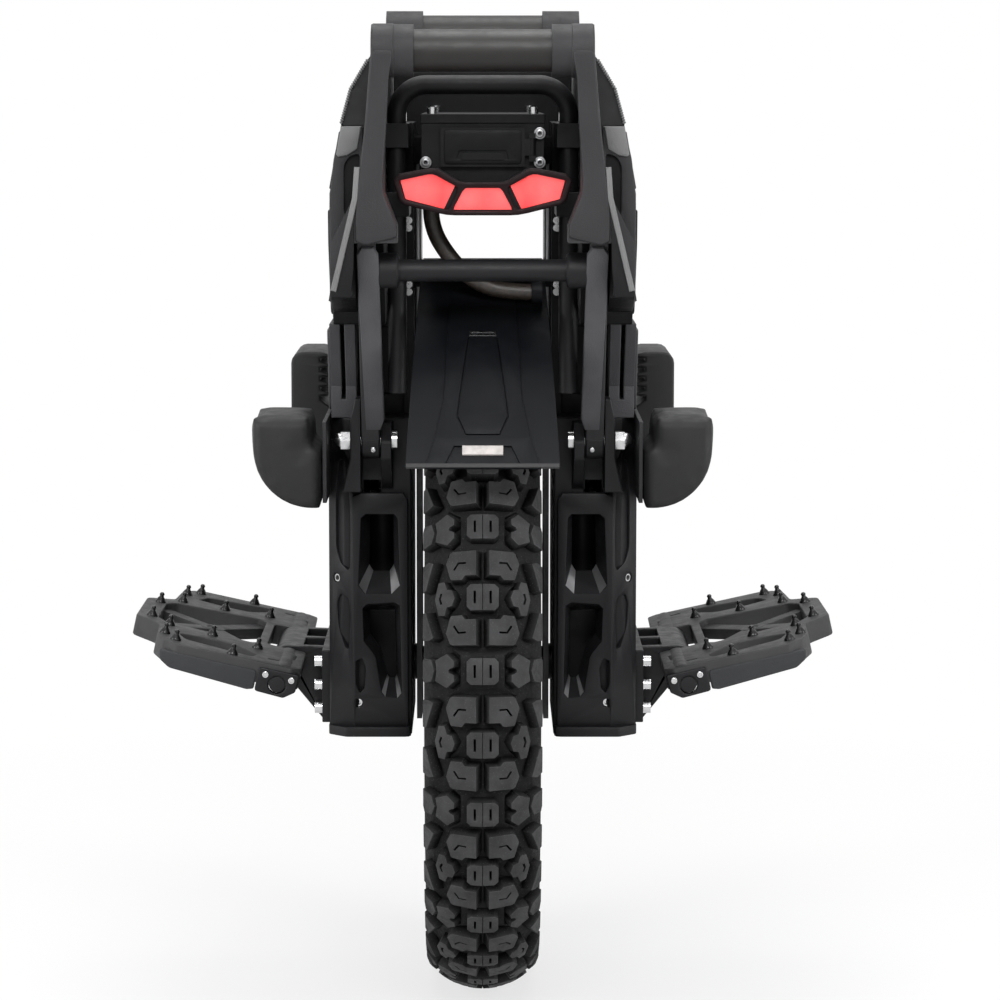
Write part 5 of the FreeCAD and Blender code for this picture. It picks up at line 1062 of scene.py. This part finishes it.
THIN = 3.0
CHEEK_Y = -172.0
CHEEK = rounded([(86, 600), (100, 577), (108, 560), (110.4, 545), (110.4, 620), (107.2, 649), (101.8, 672.4),
                 (86, 672.4)], 0.12)
CHEEK_RECESS = rounded([(88.5, 610), (97.5, 606), (99.6, 612), (99.6, 644), (96, 650.5), (88.5, 653)], 0.3)
FACET_Y = -174.4
FACET = [(87, 672.4), (89.8, 656), (97.4, 651.4), (103.6, 650.4), (105.4, 652), (101.8, 672.4)]
RIDGE_Y = -207.4
RIDGE = slot([(89, 644), (90.6, 622), (98.6, 589), (106.4, 556)], 4.2)
RIM_LINE = [(101.6, -168.4, 675.0), (95.4, -157.4, 699.0), (82.6, -147.4, 721.0)]
RIM_BEAD = [(0.9, -0.7), (1.35, -0.3), (1.35, 0.3), (0.9, 0.7)]
RIM_STEPS = 14
PANEL_X = 112.4
SHELL_PANEL = rounded(mirrored([(112, 533), (150, 586), (154, 612)]), 0.1)
END_VENT = [(66, 580), (126, 580), (132, 602), (58, 602)]
SHELL_VENTS = all_rounded([flip_x(END_VENT), mirrored([(50, 580), (42, 602)]), END_VENT,
                           mirrored([(96, 542), (114, 570)])], 0.18)
BAND_PLACE = (111.9, 0.0, 624.2)
BAND_UP = (-0.171, 0.0, 0.985)
SHELL_BAND = mirrored([(154, 3), (150, 45)])
BAND_VENT = [(8, 12), (142, 12), (134, 36), (8, 36)]
BAND_VENTS = all_rounded([flip_x(BAND_VENT), BAND_VENT], 0.16)
UPPER_PLACE = (103.5, 0.0, 673.4)
UPPER_UP = (-0.251, 0.0, 0.968)
UPPER_BAND = mirrored([(150, 3), (140, 25)])
UPPER_VENTS = all_rounded([[(x - 20, 9), (x + 14, 9), (x + 20, 19), (x - 14, 19)]
                           for x in range(-100, 101, 50)], 0.2)
BRACE_X = 116.2
BRACE = rounded(mirrored([(68, 458), (94, 521)]), 0.06)
BRACE_POCKET = [(27, 466), (60, 466), (78, 512), (31, 512)]
BRACE_POCKETS = all_rounded([flip_x(BRACE_POCKET), mirrored([(17, 466), (20, 512)]), BRACE_POCKET], 0.14)
LEG_X = 117.0
LEG_PANEL = rounded(mirrored([(50, 282), (58, 330), (58, 386)]), 0.1)
LEG_POCKETS = all_rounded([mirrored(side) for side in ([(42, 290), (36, 310)], [(34, 317), (34, 339)],
                                                            [(50, 346), (50, 378)])], 0.18)


def shell_dress():
    """Cheeks and ridges on the shells' ends, and panels on the sides of the shells, frames and legs."""
    # The cheeks take the lighter pillar grey over the dark shell plastic: painted light on the lit rear ends
    # of the shells.
    cheek = Forms().behind(CHEEK, CHEEK_Y, 5.0, 1.2, [CHEEK_RECESS])
    cheek.four_ways().made("shell_cheeks_painted_light", GREY_COAT, "shell_plastic")
    # Facets, ridges and rim beads are light grey as painted highlight on the dark shell plastic.
    facet = Forms().behind(FACET, FACET_Y, 4.0, 2.0)
    facet.four_ways().made("shell_facets", HIGHLIGHT_GREY, "shell_plastic")
    ridge = Forms().behind(RIDGE, RIDGE_Y, 5.0, 1.5)
    ridge.four_ways().made("shell_ridges", HIGHLIGHT_GREY, "shell_plastic")
    beads = Forms()
    for start, end in zip(RIM_LINE, RIM_LINE[1:]):
        way = Vector(end) - Vector(start)
        for step in range(RIM_STEPS):
            beads.turned(Vector(start) + way * (step / RIM_STEPS), way, RIM_BEAD, 8)
    beads.four_ways().made("upper_shell_rims", HIGHLIGHT_GREY, "shell_plastic")
    panel = Forms().beside(SHELL_PANEL, PANEL_X, THIN, 1.2, SHELL_VENTS)
    panel.prism(SHELL_BAND, BAND_PLACE, SIDE[0], BAND_UP, THIN, 1.0, BAND_VENTS)
    panel.prism(UPPER_BAND, UPPER_PLACE, SIDE[0], UPPER_UP, THIN, 1.0, UPPER_VENTS)
    panel.both_sides().made("shell_panels", SHELL, "shell_plastic")
    panel = Forms().beside(BRACE, BRACE_X, THIN, 0.9, BRACE_POCKETS)
    panel.both_sides().made("side_frame_panels", SIDE_GREY, "grey_alloy")
    panel = Forms().beside(LEG_PANEL, LEG_X, THIN, 0.9, LEG_POCKETS)
    panel.both_sides().made("leg_panels", BLACK_COAT, "black_alloy")


# Pillars and stays, in millimetres

PILLAR_FACE = [(60.6, 594), (84, 588.4), (90.4, 591), (90.8, 606), (90, 622), (88.2, 634), (84, 667),
               (79, 727), (62.6, 727), (66.4, 708), (68.2, 671), (71, 634), (70, 624), (61.8, 604)]
PILLAR_UP = (0.0, -0.0406, 0.9992)
PILLAR_PLACE = (0.0, -181.9, 0.5)
PILLAR_NECK = 700.0
FRONT_RISE = 17.3
BOSS_PLACE = (62.6, -192.0, 726.0)
BOSS_BAND = [(18.2, 0), (19.1, 0.9), (19.1, 15.2), (18.4, 16.2), (16, 16.6)]
SKIRT_Y = -206.0
SKIRT = [(92, 572), (94, 551.6), (108.3, 551.6), (108.3, 556), (99, 582), (93.4, 606), (91.6, 604),
         (91.6, 588)]
WEDGE_X = 110.3
WEDGE_WIDE = 19.0
WEDGE = [(-171, 606), (-171, 549), (-150, 541), (-126, 536), (-164, 606)]
STAY_UP = (0.0, -0.518, 0.855)
STAY_PLACE = (0.0, -107.6, 436.4)
STAY_FACE = [(75.6, 12), (87.2, 12), (90.3, 168), (86.6, 175), (78, 175), (74.6, 168), (72.8, 22)]
COLLAR_PLACE = (60.6, -171.7, 569.0)
COLLAR = [(11.6, 0), (12.9, 1.2), (12.9, 15.4), (12, 16.4)]
SLEEVE_PLACE = (76.5, -95.0, 438.0)
SLEEVE = [(12.8, 0), (13.9, 1.2), (13.9, 12.8), (12.8, 14)]
SLEEVE_SCREW = (81.5, -107.6, 432.4)
WEB_Y = -44.0
WEB = [(59, 446), (96, 446), (96, 530), (59, 530)]
WEB_POCKET = [(66, 468), (90, 468), (90, 520), (66, 520)]
POCKET_Y = -41.0
STRIP_Y = -31.4
STRIP = [(48.1, 462), (50.5, 462), (50.5, 656), (48.1, 656)]
BULKHEAD_Y = 64.0
BULKHEAD = rounded(mirrored([(70, 640), (70, 712), (66, 716)]), 0.15)
BULKHEAD_SLOT = [(60, 645), (66, 645), (66, 696), (60, 696)]


def pillar_dress():
    """Smooth faces over the pillars, bands round the ends of their bars and the dark skirts below them, which
    are painted shade over the pillars' lower outer corners.
    """
    for name, rise, way in (("rear", 0.0, 1), ("front", FRONT_RISE, -1)):
        outline = [(x, z + rise if z > PILLAR_NECK else z) for x, z in PILLAR_FACE]
        face = Forms().prism(rounded(outline, 0.26), PILLAR_PLACE, BACK[0], PILLAR_UP, 6.0, 1.9, (), 2)
        face.turned((*BOSS_PLACE[:2], BOSS_PLACE[2] + rise), (1, 0, 0), BOSS_BAND, 64)
        face.signed((1, way, 1)).both_sides()
        face.made(name + "_pillar_faces", GREY_COAT, "grey_alloy", "frame", 30.0)
    # Dark plastic over the pillars' lower outer corners: painted shade where the pillars fall dark.
    skirt = Forms().behind(SKIRT, SKIRT_Y, THIN, 0.6).beside(WEDGE, WEDGE_X, WEDGE_WIDE, 1.2)
    skirt.four_ways().made("pillar_shade_skirts", SHELL, "shell_plastic")


def stay_dress():
    """Faces, collars and sleeves of the stays, webs, slider strips and the dash's bulkhead."""
    face = Forms().prism(STAY_FACE, STAY_PLACE, BACK[0], STAY_UP, 6.0, 2.2)
    face.both_sides().made("stay_faces", SIDE_GREY, "grey_alloy")
    collar = Forms().turned(COLLAR_PLACE, (1, 0, 0), COLLAR, 48)
    collar.both_sides().made("tube_collars", BLACK_COAT, "black_alloy")
    sleeve = Forms().turned(SLEEVE_PLACE, (1, 0, 0), SLEEVE, 48)
    sleeve.both_sides().made("stay_sleeves", BLACK_COAT, "black_alloy")
    pin = Forms().screw(SLEEVE_SCREW, (0.0, -1.0, -0.45), 2.2, 1.6)
    pin.both_sides().made("sleeve_screws", STEEL, "polished_steel")
    web = Forms().behind(rounded(WEB, 0.06), WEB_Y, 6.0, 1.2, [rounded(WEB_POCKET, 0.2)])
    web.behind(rounded(WEB_POCKET, 0.1), POCKET_Y, THIN, 0.6)
    web.four_ways().made("frame_webs", BLACK_COAT, "black_alloy")
    strip = Forms().behind(STRIP, STRIP_Y, THIN, 0.5)
    strip.both_sides().made("slider_strips", BARE, "polished_steel", "carriage")
    slots = all_rounded([flip_x(BULKHEAD_SLOT), BULKHEAD_SLOT], 0.3)
    wall = Forms().behind(BULKHEAD, BULKHEAD_Y, 5.0, 1.2, slots)
    wall.made("dash_bulkhead", SHELL, "shell_plastic")


# Lights, screws and motor covers, in millimetres

LAMP_Y = -173.4
LAMP_FRAME = rounded(mirrored([(26, 608.6), (57, 616.4), (60.4, 619.6), (64.6, 633), (60.4, 638.6),
                               (37, 642.6), (33.4, 642.4), (16, 632.4)]), 0.2)
SIDE_LENS = [(24.6, 612.6), (56.2, 619.6), (60.6, 633.4), (36, 638.6), (17.4, 628.4)]
LENSES = all_rounded([mirrored([(22, 611.8), (13, 628.6)]), SIDE_LENS, flip_x(SIDE_LENS)], 0.16)
BOX_SCREWS = [(-41.4, 646), (41.4, 646), (41.4, 667)]
WASHER_Y = -147.0
WASHER = [(4.3, 0), (4.3, 1), (3.9, 1.4)]
SCREW_Y = -148.2
SOCKET_Y = -148.4
SOCKET = [(1.6, 0), (1.6, 1.3), (1.2, 1.1)]
DOOR_Y = -151.2
DOOR_PANEL = rounded(mirrored([(28, 645), (28, 669.2)]), 0.1)
DOOR_PULL = rounded(mirrored([(19, 648.4), (17, 654.6)]), 0.15)
DOOR_BAR_Y = -151.6
DOOR_BAR = rounded(mirrored([(15, 651.2), (15, 653.2)]), 0.2)
BEZEL_Y = 195.0
BEZEL = rounded(mirrored([(40, 623), (44, 630), (44, 664), (40, 671)]), 0.2)
BEZEL_GLASS = rounded(mirrored([(34, 629), (34, 665)]), 0.16)
HEADLAMP_PLACES = [(-22.0, 191.6, 647.0), (0.0, 191.6, 647.0), (22.0, 191.6, 647.0)]
HEADLAMP = [(9, 0), (9, 1.6), (8, 2.4), (6.5, 2.2), (3, 3), (0.6, 3.2)]
COVER_FACE = 38.0
COVER_RING = [(124, -0.5), (123, 2.6), (121.6, 3.4), (110.4, 3.4), (109, 2.6), (108, -0.5)]
FIN = both_ends([(102, 0), (98, 4.6), (46, 3)])
FIN_TOP = 41.4
FIN_DEEP = 4.4
FIN_COUNT = 18


def wheel_dress():
    """Fins and a raised ring on the motor covers."""
    forms = Forms().turned((COVER_FACE, 0.0, WHEEL_Z), (1, 0, 0), COVER_RING, 96)
    for step in range(FIN_COUNT):
        angle = 2 * math.pi * step / FIN_COUNT
        out = (0.0, math.cos(angle), math.sin(angle))
        along_rim = (0.0, -math.sin(angle), math.cos(angle))
        forms.prism(FIN, (FIN_TOP, 0.0, WHEEL_Z), out, along_rim, FIN_DEEP, 1.1)
    forms.both_sides().made("motor_cover_fins", BLACK_COAT, "black_alloy", "wheel")


def lamp_dress():
    """The tail light's frame round its three lenses."""
    # The frame's dark red is painted glow from the lenses.
    Forms().behind(LAMP_FRAME, LAMP_Y, 6.0, 1.3, LENSES).made("tail_light_frame", RED_GLOW_FRAME, "shell_plastic")


def small_screws():
    """Socket screws on the controller box and the charge door's raised panel."""
    screws = Forms()
    socket_shade = Forms()
    for x, z in BOX_SCREWS:
        screws.turned((x, WASHER_Y, z), (0, -1, 0), WASHER)
        screws.screw((x, SCREW_Y, z), (0, -1, 0), 3.3, 2.2)
        # A dark disc at the bottom of each screw's socket: painted shade in the recess.
        socket_shade.turned((x, SOCKET_Y, z), (0, -1, 0), SOCKET, 6)
    screws.made("box_screws", BARE, "polished_steel")
    socket_shade.made("box_screw_socket_shade", SPIKE_STEEL, "steel")
    panel = Forms().behind(DOOR_PANEL, DOOR_Y, 2.0, 0.5, [DOOR_PULL]).behind(DOOR_BAR, DOOR_BAR_Y, 2.0, 0.5)
    panel.made("charge_door_panel", SHELL, "shell_plastic", "charge_port_door")


def on_front(points):
    """Flat points stood up on the headlight's front."""
    return np.column_stack([points[:, 0], BEZEL_Y + points[:, 2], points[:, 1]])


def front_dress():
    """Bezel and lamps of the headlight."""
    bezel = Forms().laid(on_front, BEZEL, [BEZEL_GLASS], 7.0, 1.2)
    bezel.made("headlight_bezel", BLACK_COAT, "shell_plastic")
    lamps = Forms()
    for place in HEADLAMP_PLACES:
        lamps.turned(place, (0, 1, 0), HEADLAMP)
    lamps.made("headlight_lenses", CLEAR, "clear_lens")


shell_dress()
pillar_dress()
wheel_dress()
stay_dress()
lamp_dress()
small_screws()
front_dress()


# Floor, light and camera

WHITE = (1.0, 1.0, 1.0, 1.0)
FLOOR_GREY = (0.82, 0.82, 0.82, 1.0)
FLOOR_HALF = 20.0
FLOOR_FADE = {"From Min": 0.25, "From Max": 1.1, "To Min": 0.7, "To Max": 1.0}
ROOM_LIGHT = 0.3
LAMP_TARGET = (0.0, 0.0, 0.4)
LAMPS = [("left_box", (-1.9, -1.0, 1.0), (0.6, 1.8), 30.0), ("right_box", (1.9, -1.0, 1.0), (0.6, 1.8), 30.0),
         ("key_box", (0.0, -2.2, 2.0), (1.2, 0.8), 40.0), ("top_box", (0.0, 0.2, 2.4), (1.4, 1.4), 30.0)]
CAMERA_PLACE = (0.0, -2.589, 0.699)
CAMERA_TILT = math.radians(83.0)
CAMERA_LENS = 120.53
CAMERA_SHIFT = 0.0173


def looked_at(tree):
    """One for what the eye, a reflection or clear material sees, and nought for light on the object."""
    rays = add_node(tree, "LightPath").outputs
    total = rays["Is Camera Ray"]
    for name in ("Is Glossy Ray", "Is Transmission Ray"):
        total = add_node(tree, "Math", {0: total, 1: rays[name]}, operation="MAXIMUM").outputs["Value"]
    return total


def floor():
    """A pale floor that shows white to the camera and keeps a soft shadow."""
    mesh = bpy.data.meshes.new("floor")
    corners = [(x * FLOOR_HALF, y * FLOOR_HALF, 0.0) for x, y in ((-1, -1), (1, -1), (1, 1), (-1, 1))]
    mesh.from_pydata(corners, [], [(0, 1, 2, 3)])
    obj = new_object("floor", mesh)
    material = bpy.data.materials.new("floor")
    material.use_nodes = True
    tree = material.node_tree
    shader = tree.nodes["Principled BSDF"]
    wire(tree, shader, {"Base Color": FLOOR_GREY, "Roughness": 0.9, "Specular IOR Level": 0.0})
    glow = add_node(tree, "Emission", {"Strength": 1.0})
    place = add_node(tree, "TexCoord").outputs["Object"]
    reach = add_node(tree, "VectorMath", {0: place}, operation="LENGTH").outputs["Value"]
    fade = add_node(tree, "MapRange", {"Value": reach, **FLOOR_FADE}).outputs["Result"]
    seen = add_node(tree, "Math", {0: fade, 1: looked_at(tree)}, operation="MULTIPLY").outputs["Value"]
    blend = add_node(tree, "MixShader", {"Fac": seen, 1: shader.outputs["BSDF"], 2: glow.outputs["Emission"]})
    wire(tree, tree.nodes["Material Output"], {"Surface": blend.outputs["Shader"]})
    obj.data.materials.append(material)


def sky():
    """A white room, plain to the eye and dimmer as a light."""
    world = bpy.data.worlds.new("room")
    bpy.context.scene.world = world
    world.use_nodes = True
    tree = world.node_tree
    level = add_node(tree, "MapRange", {"Value": looked_at(tree), "To Min": ROOM_LIGHT, "To Max": 1.0})
    wire(tree, tree.nodes["Background"], {"Color": WHITE, "Strength": level.outputs["Result"]})


def lamp(name, place, size, power):
    """A soft rectangular lamp aimed at the middle."""
    data = bpy.data.lights.new(name, "AREA")
    data.shape = "RECTANGLE"
    data.size, data.size_y = size
    data.energy = power
    obj = new_object(name, data)
    obj.location = place
    obj.rotation_euler = (Vector(LAMP_TARGET) - Vector(place)).to_track_quat("-Z", "Y").to_euler()


def camera():
    """The camera at the photograph's place."""
    data = bpy.data.cameras.new("camera")
    data.sensor_width = 36.0
    data.lens = CAMERA_LENS
    data.shift_x = CAMERA_SHIFT
    data.clip_end = 100.0
    obj = new_object("camera", data)
    obj.location = CAMERA_PLACE
    obj.rotation_euler = (CAMERA_TILT, 0.0, 0.0)
    bpy.context.scene.camera = obj


floor()
sky()
for settings in LAMPS:
    lamp(*settings)
camera()
bpy.context.scene.view_settings.view_transform = "Standard"
